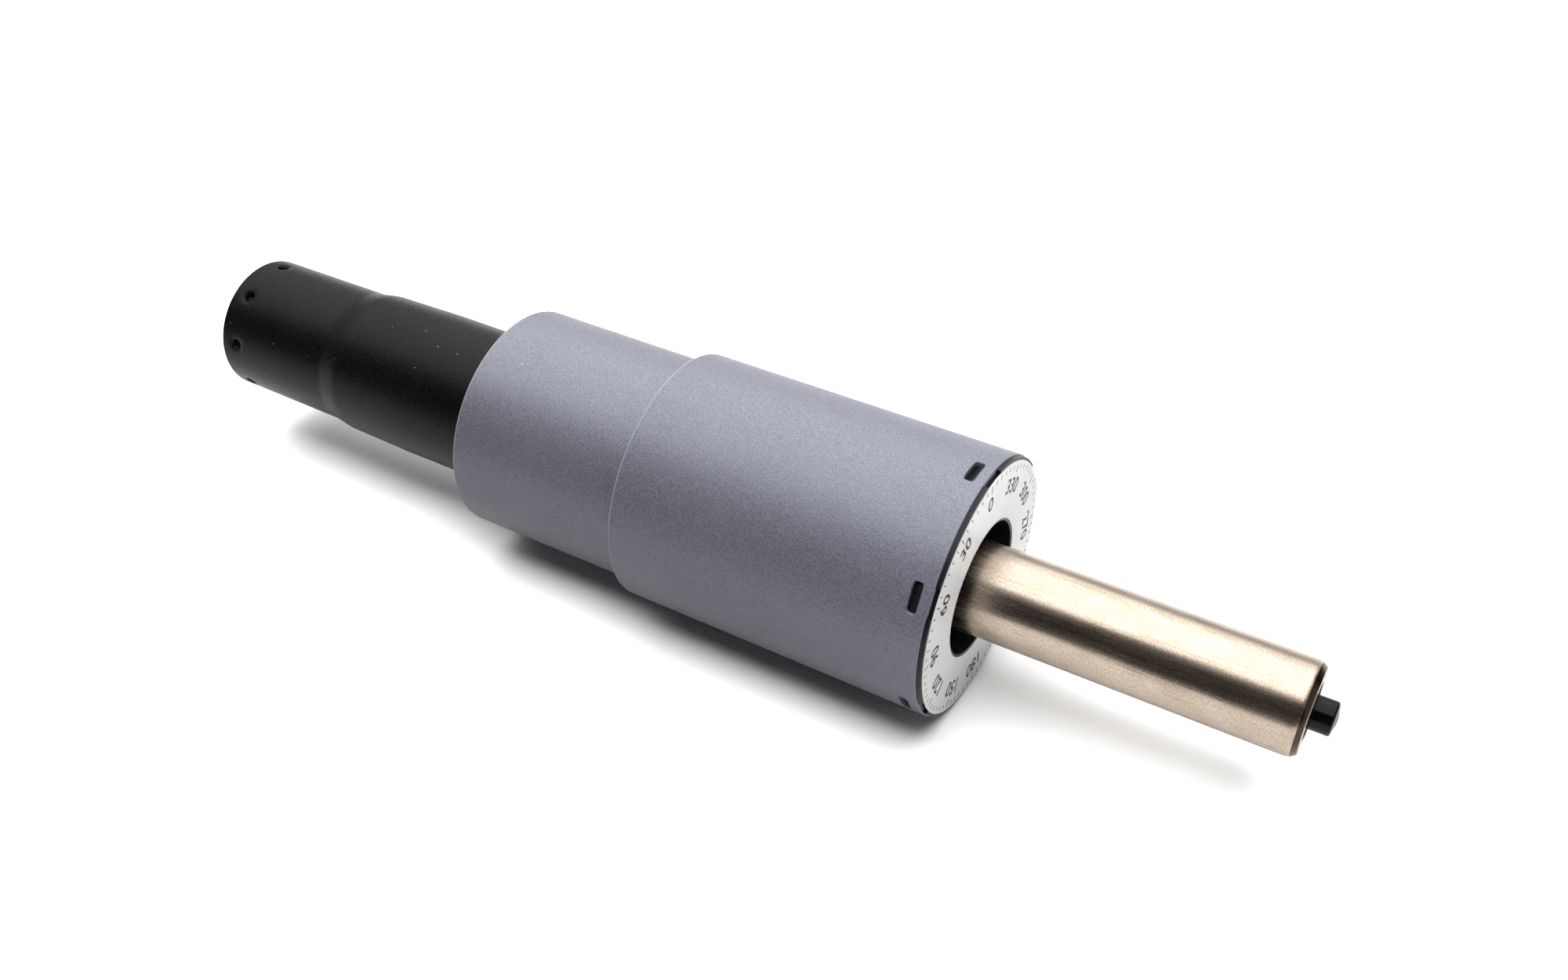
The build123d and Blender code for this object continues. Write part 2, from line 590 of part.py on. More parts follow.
# End cap: notched flange over the sleeve's end, a skirt with snap tabs, and a deep
# collar that takes the hub of the seat plate. The slotted fingers of the collar's
# floor ride on the pressure tube, and webs join the collar to the skirt.
cap_face_x = UPPER_SLEEVE_END_X + CAP_FLANGE
skirt_x = UPPER_SLEEVE_END_X - CAP_SKIRT_DEPTH
collar_x = UPPER_SLEEVE_END_X - CAP_DEPTH
skirt_radius = upper_bore_high - TOUCH
skirt_middle = skirt_radius - CAP_WALL / 2
collar_radius = CAP_BORE_RADIUS + CAP_WALL
finger_radius = TUBE_RADIUS + RUNNING
with BuildPart() as end_cap:
    with BuildSketch():
        band(UPPER_SLEEVE_END_X, cap_face_x, CAP_BORE_RADIUS, CAP_RADIUS)
        band(skirt_x, UPPER_SLEEVE_END_X, skirt_radius - CAP_WALL, skirt_radius)
        band(collar_x, UPPER_SLEEVE_END_X, CAP_BORE_RADIUS, collar_radius)
        band(collar_x, collar_x + CAP_FLOOR, finger_radius, collar_radius)
        for rib in range(BORE_RIB_COUNT):
            cut_x = UPPER_SLEEVE_END_X - BORE_RIB_START - rib * BORE_RIB_PITCH
            cut_end_x = cut_x + BORE_RIB_PITCH / 2
            cut_radius = CAP_BORE_RADIUS + BORE_RIB_DEPTH
            band(cut_x, cut_end_x, finger_radius, cut_radius, mode=Mode.SUBTRACT)
    revolve(axis=Axis.X)
    web_angle = SNAP_FIRST_ANGLE + 90.0 / SNAP_COUNT
    with BuildSketch(*spoke_planes(2 * SNAP_COUNT, web_angle)):
        band(skirt_x + CAP_WEB_RELIEF, UPPER_SLEEVE_END_X + TOUCH, collar_radius - TOUCH, skirt_middle)
    extrude(amount=CAP_WEB_WIDTH / 2, both=True)
    with BuildSketch(*snap_planes):
        tab_end = window_high - TAB_BACK_MARGIN
        outline(
            (window_low + TAB_MARGIN, skirt_middle),
            (window_low + TAB_MARGIN, skirt_radius),
            (tab_end - TAB_LAND, skirt_radius + TAB_HEIGHT),
            (tab_end, skirt_radius + TAB_HEIGHT),
            (tab_end, skirt_middle),
        )
    extrude(amount=TAB_WIDTH / 2, both=True)
    with BuildSketch(*snap_planes):
        band(UPPER_SLEEVE_END_X, cap_face_x, CAP_RADIUS - NOTCH_DEPTH, OUTSIDE)
    extrude(amount=NOTCH_WIDTH / 2, both=True, mode=Mode.SUBTRACT)
    with BuildSketch(*spoke_planes(FINGER_COUNT, 0)):
        band(collar_x, collar_x + CAP_FLOOR, 0, CAP_BORE_RADIUS - FINGER_ROOT)
    extrude(amount=FINGER_SLOT_WIDTH / 2, both=True, mode=Mode.SUBTRACT)

# Label disc: thin white disc on the cap's face
with BuildPart() as label_disc:
    with BuildSketch():
        band(cap_face_x, cap_face_x + LABEL_THICKNESS, LABEL_INNER_RADIUS, LABEL_OUTER_RADIUS)
    revolve(axis=Axis.X)

pieces = {
    "standpipe": standpipe,
    "end_plate": end_plate,
    "guide_bush": guide_bush,
    "bearing_lower_race": bearing_lower_race,
    "bearing_cage": bearing_cage,
    "bearing_balls": bearing_balls,
    "bearing_upper_race": bearing_upper_race,
    "piston_rod": piston_rod,
    "retaining_clip": retaining_clip,
    "end_washer": end_washer,
    "buffer": buffer,
    "buffer_washer": buffer_washer,
    "piston": piston,
    "piston_seal": piston_seal,
    "piston_nut": piston_nut,
    "pressure_tube": pressure_tube,
    "inner_tube": inner_tube,
    "seal_washer": seal_washer,
    "rod_seal": rod_seal,
    "rod_guide": rod_guide,
    "valve_body": valve_body,
    "valve_rings": valve_rings,
    "pin_seal": pin_seal,
    "valve_pin": valve_pin,
    "release_button": release_button,
    "lower_sleeve": lower_sleeve,
    "upper_sleeve": upper_sleeve,
    "end_cap": end_cap,
    "label_disc": label_disc,
}

os.makedirs("parts", exist_ok=True)
for name, piece in pieces.items():
    piece.part.label = name
    export_step(piece.part, f"parts/{name}.step")
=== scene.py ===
from functools import cache
from math import ceil, pi, radians

import bmesh
import bpy
import numpy as np
from bpy.props import FloatProperty, FloatVectorProperty, IntProperty, PointerProperty
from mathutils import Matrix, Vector


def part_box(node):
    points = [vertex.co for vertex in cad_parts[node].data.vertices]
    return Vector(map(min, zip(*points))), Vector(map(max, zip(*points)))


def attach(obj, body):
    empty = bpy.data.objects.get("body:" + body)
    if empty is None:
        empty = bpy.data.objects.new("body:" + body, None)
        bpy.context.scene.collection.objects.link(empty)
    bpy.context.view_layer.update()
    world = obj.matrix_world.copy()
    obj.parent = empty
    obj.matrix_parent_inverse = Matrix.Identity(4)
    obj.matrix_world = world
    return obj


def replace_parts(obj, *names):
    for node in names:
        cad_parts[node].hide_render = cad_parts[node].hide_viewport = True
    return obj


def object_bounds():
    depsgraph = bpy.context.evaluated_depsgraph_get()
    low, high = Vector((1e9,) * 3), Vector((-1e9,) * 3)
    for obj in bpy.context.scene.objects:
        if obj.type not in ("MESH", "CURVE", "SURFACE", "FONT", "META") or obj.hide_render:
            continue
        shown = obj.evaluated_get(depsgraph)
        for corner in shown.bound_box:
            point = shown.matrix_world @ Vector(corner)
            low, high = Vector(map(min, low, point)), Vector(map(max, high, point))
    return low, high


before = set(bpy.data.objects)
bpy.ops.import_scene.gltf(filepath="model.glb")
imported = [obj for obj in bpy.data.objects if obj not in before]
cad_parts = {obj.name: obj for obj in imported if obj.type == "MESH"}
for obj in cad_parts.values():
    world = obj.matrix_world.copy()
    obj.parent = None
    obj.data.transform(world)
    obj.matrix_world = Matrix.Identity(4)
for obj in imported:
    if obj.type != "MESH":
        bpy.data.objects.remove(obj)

bl_info = {
    "name": "Chair Gas Lift",
    "version": (1, 0, 0),
    "blender": (4, 5, 0),
    "location": "View3D > Sidebar > Gas Lift",
    "description": "Builds the visible shells and finishes of a chair gas lift round its frame",
    "category": "Object",
}

# The lift lies along the X axis, its tapered lower end at x = 0 and its seat end at
# high x, with Z up. A place on it is x, a radius, and an angle round the axis, which
# starts at the top and turns towards the front, -Y. Lengths are in metres.
MM = 0.001
TURN = 2 * pi
WELD = 1e-6
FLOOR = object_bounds()[0].z
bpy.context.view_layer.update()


def reach_of(node):
    """Low x, high x and largest radius of a frame node."""
    low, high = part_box(node)
    return low.x, high.x, high.y


PIPE_X, PIPE_END_X, PIPE_RADIUS = reach_of("standpipe")
LOWER_X, LOWER_END_X, LOWER_LIP_RADIUS = reach_of("lower_sleeve")
UPPER_X, UPPER_END_X, UPPER_RADIUS = reach_of("upper_sleeve")
CAP_X, _, _ = reach_of("end_cap")
LABEL_X, LABEL_FACE_X, LABEL_RADIUS = reach_of("label_disc")
TUBE_X, TUBE_END_X, TUBE_RADIUS = reach_of("pressure_tube")
BUTTON_X, BUTTON_END_X, BUTTON_RADIUS = reach_of("release_button")


def linear(code):
    """Linear colour of an sRGB hex code."""
    values = np.array([int(code[i : i + 2], 16) for i in (1, 3, 5)]) / 255
    return tuple(np.where(values <= 0.04045, values / 12.92, ((values + 0.055) / 1.055) ** 2.4))


def length(name, description, default):
    """Length property of a settings group, given in millimetres."""
    default *= MM
    return FloatProperty(name=name, description=description, default=default, unit="LENGTH", precision=5)


def angle(name, description, default):
    """Angle property of a settings group, given in degrees."""
    default = radians(default)
    return FloatProperty(name=name, description=description, default=default, unit="ROTATION")


def count(name, description, default):
    """Whole number property of a settings group."""
    return IntProperty(name=name, description=description, default=default, min=1)


def brightness(name, description, default):
    """Brightness property of a lamp in a settings group: how bright its face is."""
    return FloatProperty(name=name, description=description, default=default, min=0)


def colour(name, description, code):
    """Colour property of a settings group, given as an sRGB hex code."""
    return FloatVectorProperty(
        name=name, description=description, default=linear(code), size=3, subtype="COLOR", min=0, max=1
    )


class StandpipeSettings(bpy.types.PropertyGroup):
    """Sizes of the standpipe."""

    wall: length("Wall", "Thickness of the pipe's wall", 1.8)
    end_radius: length("End radius", "Radius at the tapered lower end", 22.9)
    taper_radius: length("Taper radius", "Radius where the taper meets the neck", 23.2)
    taper_length: length("Taper length", "Length of the tapered lower end", 45)
    neck_x: length("Neck", "Place of the neck's crown", 52)
    neck_radius: length("Neck radius", "Radius at the neck's crown", 24.4)
    neck_end_x: length("Neck end", "Where the pipe reaches its full radius", 78)
    hollow_round: length("Hollow rounding", "Rounding of the neck's hollow", 9)
    crown_round: length("Crown rounding", "Rounding of the neck's crown", 14)
    rim_round: length("Rim rounding", "Rounding of the pipe's cut end", 0.7)
    crimps: count("Crimps", "Number of punched crimps round the end plate", 8)
    crimp_angle: angle("Crimp angle", "Angle of the first crimp", -14.5)
    crimp_x: length("Crimp place", "Distance of the crimps from the end", 6.5)
    dent_radius: length("Dent radius", "Radius of the soft dent round each crimp", 4.2)
    dent_depth: length("Dent depth", "Depth of the soft dent", 0.4)
    punch_radius: length("Punch radius", "Radius of the punched hollow", 1.6)
    punch_depth: length("Punch depth", "Depth of the punched hollow below the dent", 1.9)


class CoverSettings(bpy.types.PropertyGroup):
    """Sizes of the two sleeves of the telescopic cover."""

    lower_radius: length("Lower rim radius", "Radius of the lower sleeve's rim", 36.5)
    lower_top_radius: length("Lower top radius", "Radius of the lower sleeve's top", 36.65)
    lower_wall: length("Lower wall", "Wall of the lower sleeve", 1.6)
    upper_rim_radius: length("Upper rim radius", "Radius of the upper sleeve's rim", 40.3)
    upper_wall: length("Upper wall", "Wall of the upper sleeve", 1.8)
    sleeve_gap: length("Gap", "Gap between the upper sleeve's lip and the lower sleeve", 0.35)
    lip_length: length("Lip length", "Length of the lips that catch in each other", 2.5)
    rim_round: length("Rim rounding", "Rounding of the moulded rims", 0.5)
    edge_round: length("Edge rounding", "Rounding of small moulded edges", 0.3)
    windows: count("Windows", "Number of snap windows", 6)
    window_angle: angle("Window angle", "Angle of the first snap window", -2)
    window_x: length("Window place", "Place of the windows' middle along the lift", 274.2)
    window_length: length("Window length", "Size of a window along the lift", 3.1)
    window_width: length("Window width", "Size of a window round the lift", 9.2)


class TubeSettings(bpy.types.PropertyGroup):
    """Sizes of the pressure tube and the release button."""

    running_radius: length("Running radius", "Radius of the tube below its step", 13.8)
    step_x: length("Step", "Place of the step in the tube's radius", 278)
    wall: length("Wall", "Thickness of the tube's wall", 1.4)
    chamfer_x: length("Chamfer", "Where the chamfer at the seat end starts", 376.06)
    chamfer_round: length("Chamfer rounding", "Rounding where the chamfer starts", 4.5)
    face_radius: length("Face radius", "Radius of the end face", 12.46)
    mouth_radius: length("Mouth radius", "Radius of the mouth round the button", 8.8)
    foot_mouth_radius: length("Foot mouth radius", "Radius of the mouth in the foot", 9)
    foot_chamfer: length("Foot chamfer", "Chamfer round the foot", 1.2)
    lip: length("Lip", "Thickness of the rolled lips", 1.6)
    edge_round: length("Edge rounding", "Rounding of the tube's small edges", 0.25)
    button_round: length("Button rounding", "Rounding of the button's rim", 0.8)
    button_dome: length("Button dome", "How far the button's end stands out from its rim", 0.8)
    dimple_radius: length("Dimple radius", "Radius of the dimple in the button", 1.2)
    dimple_depth: length("Dimple depth", "Depth of the dimple in the button", 0.8)


class LabelSettings(bpy.types.PropertyGroup):
    """Sizes of the label disc and the plain dial printed on it."""

    inner_radius: length("Inner radius", "Radius of the label's hole", 21.7)
    edge_round: length("Edge rounding", "Rounding of the label's cut edge", 0.06)
    tick_radius: length("Tick radius", "Radius of the ticks' outer ends", 38.4)
    short_tick: length("Short tick", "Length of a short tick", 1.4)
    long_tick: length("Long tick", "Length of a long tick", 2.6)
    tick_width: length("Tick width", "Width of a tick", 0.36)
    ticks: count("Ticks", "Number of ticks round the dial", 72)
    numbers: count("Numbers", "Number of printed numbers", 12)
    number_height: length("Number height", "Height of the printed numbers", 4.8)
    number_radius: length("Number radius", "Radius of the numbers' feet", 29.6)
    ink_height: length("Ink height", "How far the ink stands above the film", 0.02)


class FinishSettings(bpy.types.PropertyGroup):
    """Colours of the lift's finishes."""

    powder_coat: colour("Powder coat", "Black powder coat of the standpipe", "#090708")
    cover: colour("Cover", "Bluish grey of the moulded sleeves", "#898A98")
    cap: colour("Cap", "Near black of the moulded cap", "#1B1C1F")
    label: colour("Label", "White of the label film", "#F2F2F2")
    ink: colour("Ink", "Black of the print on the label", "#151517")
    tube: colour("Tube", "Warm grey of the ground tube", "#D0C0AF")
    zinc: colour("Zinc", "Bright zinc plating", "#B4B7BA")
    hard_steel: colour("Hard steel", "Polished hardened steel", "#C6C8CA")
    aluminium: colour("Aluminium", "Turned aluminium", "#C9C8C4")
    button: colour("Button", "Black of the release button", "#060606")
    bush: colour("Bush", "Natural white of the guide bush", "#DAD7CC")
    cage: colour("Cage", "Amber of the bearing cage", "#9C7236")
    rubber: colour("Rubber", "Black of the seals and the buffer", "#161616")


class StageSettings(bpy.types.PropertyGroup):
    """Camera, lamps and floor."""

    camera_place: FloatVectorProperty(
        name="Camera", description="Place of the camera", default=(0.39613, -0.31825, 0.31515),
        size=3, subtype="TRANSLATION", unit="LENGTH",
    )
    camera_aim: FloatVectorProperty(
        name="Aim", description="Direction in which the camera looks", default=(-0.382, 0.6667, -0.64),
        size=3, subtype="DIRECTION",
    )
    lens: FloatProperty(
        name="Lens", description="Focal length for a 36 mm wide frame", default=35.893, unit="CAMERA"
    )
    lamp_height: length("Lamp height", "Height of the soft box above the lift", 2400)
    floor_size: length("Floor size", "Width and depth of the floor", 4000)
    floor_front: length("Floor front", "How far in front of the lift the floor ends", 360)
    soft_box: brightness("Soft box", "Brightness of the soft box overhead", 2.8)
    rear_box: brightness("Rear box", "Brightness of the soft box over the back", 2.8)
    high_panel: brightness("High panel", "Brightness of the high panel behind", 2.0)
    low_panel: brightness("Low panel", "Brightness of the low panel behind", 0.6)
    side_panel: brightness("Side panel", "Brightness of the panel at the seat end", 0.6)
    end_panel: brightness("End panel", "Brightness of the panel at the lower end", 0.5)
    floor_wash: brightness("Floor wash", "Brightness of the lamp for the floor alone", 5.0)
    paper: colour("Paper", "White of the floor and the room, as the camera sees them", "#FFFFFF")
    bounce: colour("Bounce", "Grey that the floor gives back to the lift", "#343434")
    mirrored: colour("Mirrored", "Pale grey of the floor in its mirror image", "#D0D0D0")
    room: colour("Room", "Dark grey of the room, as the lift sees it", "#2E2E2E")


class GasLiftSettings(bpy.types.PropertyGroup):
    """All the settings of the gas lift."""

    standpipe: PointerProperty(type=StandpipeSettings)
    cover: PointerProperty(type=CoverSettings)
    tube: PointerProperty(type=TubeSettings)
    label: PointerProperty(type=LabelSettings)
    finish: PointerProperty(type=FinishSettings)
    stage: PointerProperty(type=StageSettings)


# Shapes: every surface is an array of points, worked out in one go


def around(x, radius, turn):
    """Points at x, radius and angle turn: (x, -radius * sin(turn), radius * cos(turn))."""
    x, radius, turn = np.broadcast_arrays(x, radius, turn)
    return np.stack((x, -radius * np.sin(turn), radius * np.cos(turn)), axis=-1)


def unit(vectors):
    """The vectors, one in each row, at a length of 1."""
    return vectors / np.linalg.norm(vectors, axis=1, keepdims=True)


def rounded(corners, steps=6, hold=0.15 * MM):
    """Closed outline through corners (x, radius, rounding).

    Each corner gives way to the arc of its rounding that touches both of its sides,
    swept in equal steps, with one more point on each side at the distance hold.
    """
    corners = np.array(corners, float)
    place, rounding = corners[:, :2], corners[:, 2:]
    back = unit(np.roll(place, 1, axis=0) - place)
    ahead = unit(np.roll(place, -1, axis=0) - place)
    half = np.arccos(np.clip(np.sum(back * ahead, axis=1, keepdims=True), -1, 1)) / 2
    reach = rounding / np.tan(half)
    inward = unit(back + ahead)
    centre = place + inward * rounding / np.sin(half)
    turn = np.linspace(-1, 1, steps + 1) * (pi / 2 - half)
    along = np.stack((unit(ahead - back), -inward))
    sweep = np.stack((np.sin(turn), np.cos(turn)))[..., None] * along[:, :, None]
    arc = centre[:, None] + rounding[:, None] * sweep.sum(axis=0)
    first = (place + back * (reach + hold))[:, None]
    last = (place + ahead * (reach + hold))[:, None]
    points = np.concatenate((first, arc, last), axis=1).reshape(-1, 2)
    apart = np.linalg.norm(points - np.roll(points, 1, axis=0), axis=1) > WELD
    return points[apart]


def refined(outline, longest):
    """The closed outline with points added evenly, so that no side is over longest."""
    ends = np.roll(outline, -1, axis=0)
    sides = np.linalg.norm(ends - outline, axis=1)
    parts = [
        start + (end - start) * np.linspace(0, 1, ceil(side / longest), endpoint=False)[:, None]
        for start, end, side in zip(outline, ends, sides)
    ]
    return np.concatenate(parts)


def quads(points, close_rows=False, close_columns=False, keep=None):
    """Corners of the quads between neighbours of a grid of points, rows by columns.

    The grid may close on itself either way. keep, one truth value for each quad,
    leaves some out.
    """
    if close_rows:
        points = np.concatenate((points, points[:1]), axis=0)
    if close_columns:
        points = np.concatenate((points, points[:, :1]), axis=1)
    corners = np.stack((points[:-1, :-1], points[:-1, 1:], points[1:, 1:], points[1:, :-1]), axis=2)
    return corners[keep] if keep is not None else corners.reshape(-1, 4, points.shape[-1])


def wrap_of(outline, turns):
    """Wrap of a turned outline's quads: (length round the axis at the largest radius,
    length along the outline)."""
    closed = np.concatenate((outline, outline[:1]))
    along = np.concatenate(([0], np.cumsum(np.linalg.norm(np.diff(closed, axis=0), axis=1))))
    round_axis = np.append(turns, turns[0] + TURN) * outline[:, 1].max()
    return quads(np.stack(np.meshgrid(round_axis, along), axis=-1))


def even_turns(number):
    """Evenly spaced angles round the axis."""
    return np.arange(number) * TURN / number


def turns_round(number, first, half, fine, coarse):
    """Angles round the axis: fine steps within half of each feature, coarse between.

    The features are number places at even steps from the angle first.
    """
    sector = TURN / number
    near = np.linspace(-half, half, fine, endpoint=False)
    between = np.linspace(half, sector - half, coarse, endpoint=False)
    steps = np.concatenate((near, between))
    return (first + sector * np.arange(number)[:, None] + steps).ravel()


def from_nearest(turn, number, first):
    """Signed angle from turn to the nearest of number places at even steps."""
    sector = TURN / number
    return (turn - first + sector / 2) % sector - sector / 2


# Pieces


def in_scene(name, data):
    """New object of that data, in the scene."""
    made = bpy.data.objects.new(name, data)
    bpy.context.scene.collection.objects.link(made)
    return made


def new_piece(name, body, maker, corners, wrap=None):
    """Piece from quads, four points each. wrap, where given, becomes its UV map."""
    corners = np.asarray(corners, float).reshape(-1, 4, 3)
    mesh = bpy.data.meshes.new(name)
    mesh.vertices.add(len(corners) * 4)
    mesh.vertices.foreach_set("co", corners.ravel())
    mesh.loops.add(len(corners) * 4)
    mesh.loops.foreach_set("vertex_index", np.arange(len(corners) * 4))
    mesh.polygons.add(len(corners))
    mesh.polygons.foreach_set("loop_start", np.arange(len(corners)) * 4)
    if wrap is not None:
        mesh.uv_layers.new(name="Wrap").uv.foreach_set("vector", np.asarray(wrap).ravel())
    mesh.update(calc_edges=True)
    return finish_piece(name, body, maker, mesh)


def turned_piece(name, body, maker, outline, longest, columns):
    """Piece of a closed outline (x, radius) turned round the axis in columns equal steps,
    with no side of the outline over longest."""
    outline, turns = refined(outline, longest), even_turns(columns)
    grid = around(outline[:, :1], outline[:, 1:], turns)
    return new_piece(name, body, maker, quads(grid, True, True), wrap_of(outline, turns))


def finish_piece(name, body, maker, mesh, sharp=40, flat=None):
    """Object of a mesh on its body, with the maker's material, smooth but for the edges
    over sharp degrees.

    Doubles are merged, faces within flat degrees of each other become one where flat
    is given, and no face is left without an area.
    """
    work = bmesh.new()
    work.from_mesh(mesh)
    bmesh.ops.remove_doubles(work, verts=work.verts, dist=WELD)
    if flat:
        bmesh.ops.dissolve_limit(work, angle_limit=radians(flat), verts=work.verts, edges=work.edges)
    bmesh.ops.dissolve_degenerate(work, edges=work.edges, dist=WELD / 10)
    work.to_mesh(mesh)
    work.free()
    mesh.shade_smooth()
    mesh.set_sharp_from_angle(angle=radians(sharp))
    mesh.materials.clear()
    mesh.materials.append(finish_of(maker))
    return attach(in_scene(name, mesh), body)


def eased_copy(node, name, body, maker, width):
    """Copy of a frame node whose flat faces are whole and whose edges are broken."""
    sharp = 35
    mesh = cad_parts[node].data.copy()
    mesh.name = name
    piece = finish_piece(name, body, maker, mesh, sharp, flat=0.5)
    bevel = piece.modifiers.new("Broken edges", "BEVEL")
    bevel.width = width
    bevel.segments = 2
    bevel.limit_method = "ANGLE"
    bevel.angle_limit = radians(sharp)
    bevel.harden_normals = True
    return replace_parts(piece, node)


# Finishes


def add(tree, kind, inputs=(), **settings):
    """Node with its settings. An input is a value, a node, whose first output in use is
    linked, or one of a node's outputs. A colour may leave out its alpha."""
    made = tree.nodes.new(kind)
    for name, value in settings.items():
        setattr(made, name, value)
    for name, value in dict(inputs).items():
        socket = next(s for i, s in enumerate(made.inputs) if s.enabled and name in (i, s.name))
        if isinstance(value, bpy.types.Node):
            value = next(output for output in value.outputs if output.enabled)
        if isinstance(value, bpy.types.NodeSocket):
            tree.links.new(value, socket)
        elif socket.type == "RGBA":
            socket.default_value = (*value[:3], 1)
        else:
            socket.default_value = value
    return made


def blank(name):
    """New material, its node tree, and the place on the object, from the tree's one node."""
    material = bpy.data.materials.new(name)
    material.use_nodes = True
    tree = material.node_tree
    tree.nodes.clear()
    return material, tree, add(tree, "ShaderNodeTexCoord").outputs["Object"]


def surface(tree, marks, low, high, inputs):
    """Principled shader with those inputs, as the material's surface. Its roughness goes
    from low to high as the noise marks goes from 0.3 to 0.7."""
    rough = add(
        tree, "ShaderNodeMapRange",
        {"Value": marks, "From Min": 0.3, "From Max": 0.7, "To Min": low, "To Max": high},
    )
    shader = add(tree, "ShaderNodeBsdfPrincipled", {"Roughness": rough, **inputs})
    add(tree, "ShaderNodeOutputMaterial", {"Surface": shader})


def mottle(tree, value, low, high, first, second, most=1.0):
    """Colour that goes from first to second as value goes from low to high, where it is
    second by the share most."""
    share = add(
        tree, "ShaderNodeMapRange", {"Value": value, "From Min": low, "From Max": high, "To Max": most}
    )
    return add(tree, "ShaderNodeMix", {"Factor": share, "A": first, "B": second}, data_type="RGBA")


def specks(tree, place, spacing, radius, share):
    """Mask of sparse round dots with soft edges: in that share of cells, within radius of
    their points."""
    cells = add(tree, "ShaderNodeTexVoronoi", {"Vector": place, "Scale": 1 / spacing})
    edge = radius / spacing
    near = add(
        tree, "ShaderNodeMapRange",
        {"Value": cells.outputs["Distance"], "From Min": edge, "From Max": 0.6 * edge},
    )
    pick = add(tree, "ShaderNodeSeparateColor", {"Color": cells.outputs["Color"]})
    chosen = add(tree, "ShaderNodeMath", {0: pick, 1: 1 - share}, operation="GREATER_THAN")
    return add(tree, "ShaderNodeMath", {0: near, 1: chosen}, operation="MULTIPLY")


def powder_coat(settings):
    """Polyester powder coat, sprayed and stoved: satin black with a fine peel and dust."""
    material, tree, place = blank("powder_coat_satin_black")
    # Stoved grains are bumps of about 0.3 mm, drawn at 0.45 mm so that they show, over a peel of 4 mm
    grain = add(
        tree, "ShaderNodeTexNoise",
        {"Vector": place, "Scale": 1 / (0.45 * MM), "Detail": 1, "Roughness": 0.75},
    )
    peel = add(tree, "ShaderNodeTexNoise", {"Vector": place, "Scale": 1 / (4 * MM)})
    peeled = add(tree, "ShaderNodeBump", {"Height": peel, "Distance": 0.04 * MM})
    tint = mottle(tree, grain, 0.35, 0.65, settings.powder_coat, linear("#1C171A"))
    dust = specks(tree, place, spacing=4 * MM, radius=0.26 * MM, share=0.2)
    surface(tree, grain, 0.25, 0.34, {
        "Base Color": mottle(tree, dust, 0, 1, tint, linear("#9A9894")),
        "Specular IOR Level": 0.12,
        "Normal": add(tree, "ShaderNodeBump", {"Height": grain, "Distance": 0.12 * MM, "Normal": peeled}),
    })
    return material


def moulded_cover(name, settings, rim_x):
    """Polypropylene from a spark-eroded mould: matt bluish grey with an even fine grain,
    and a painted highlight: a pale band just inside the rim at rim_x."""
    material, tree, place = blank(name)
    along = add(tree, "ShaderNodeSeparateXYZ", {"Vector": place}).outputs["X"]
    # The eroded grain is about 0.1 mm, and is drawn at 0.35 mm so that it shows
    grain = add(
        tree, "ShaderNodeTexNoise",
        {"Vector": place, "Scale": 1 / (0.35 * MM), "Detail": 1, "Roughness": 0.75},
    )
    cloud = add(tree, "ShaderNodeTexNoise", {"Vector": place, "Scale": 1 / (22 * MM), "Detail": 3})
    drawn = add(tree, "ShaderNodeMapping", {"Vector": place, "Scale": (0.35, 1, 1)})
    rub = add(
        tree, "ShaderNodeTexNoise",
        {"Vector": drawn, "Scale": 1 / (5 * MM), "Detail": 4, "Roughness": 0.6},
    )
    shadow = tuple(0.5 * value for value in settings.cover)
    tint = mottle(tree, grain, 0.4, 0.6, shadow, settings.cover)
    rubbed = mottle(tree, rub, 0.62, 0.75, tint, linear("#8D929C"), 0.12)
    dust = specks(tree, place, spacing=8 * MM, radius=0.35 * MM, share=0.14)
    dusty = mottle(tree, dust, 0, 1, rubbed, linear("#C4C8CC"))
    surface(tree, cloud, 0.4, 0.47, {
        # Painted highlight: the last 0.5 to 0.7 mm at the rim turn pale, where the rounded rim would catch
        # the light
        "Base Color": mottle(tree, along, rim_x + 0.7 * MM, rim_x + 0.5 * MM, dusty, linear("#A2A5B0")),
        "Specular IOR Level": 1.0,
        "Specular Tint": linear("#F1F3FF"),
        "Normal": add(tree, "ShaderNodeBump", {"Height": grain, "Distance": 0.06 * MM}),
    })
    return material


def lower_cover_plastic(settings):
    """The cover's plastic, with a painted highlight at the lower sleeve's rim."""
    return moulded_cover("polypropylene_moulded_grey_lower", settings, LOWER_X)


def upper_cover_plastic(settings):
    """The cover's plastic, with a painted highlight at the upper sleeve's rim."""
    return moulded_cover("polypropylene_moulded_grey_upper", settings, UPPER_X)


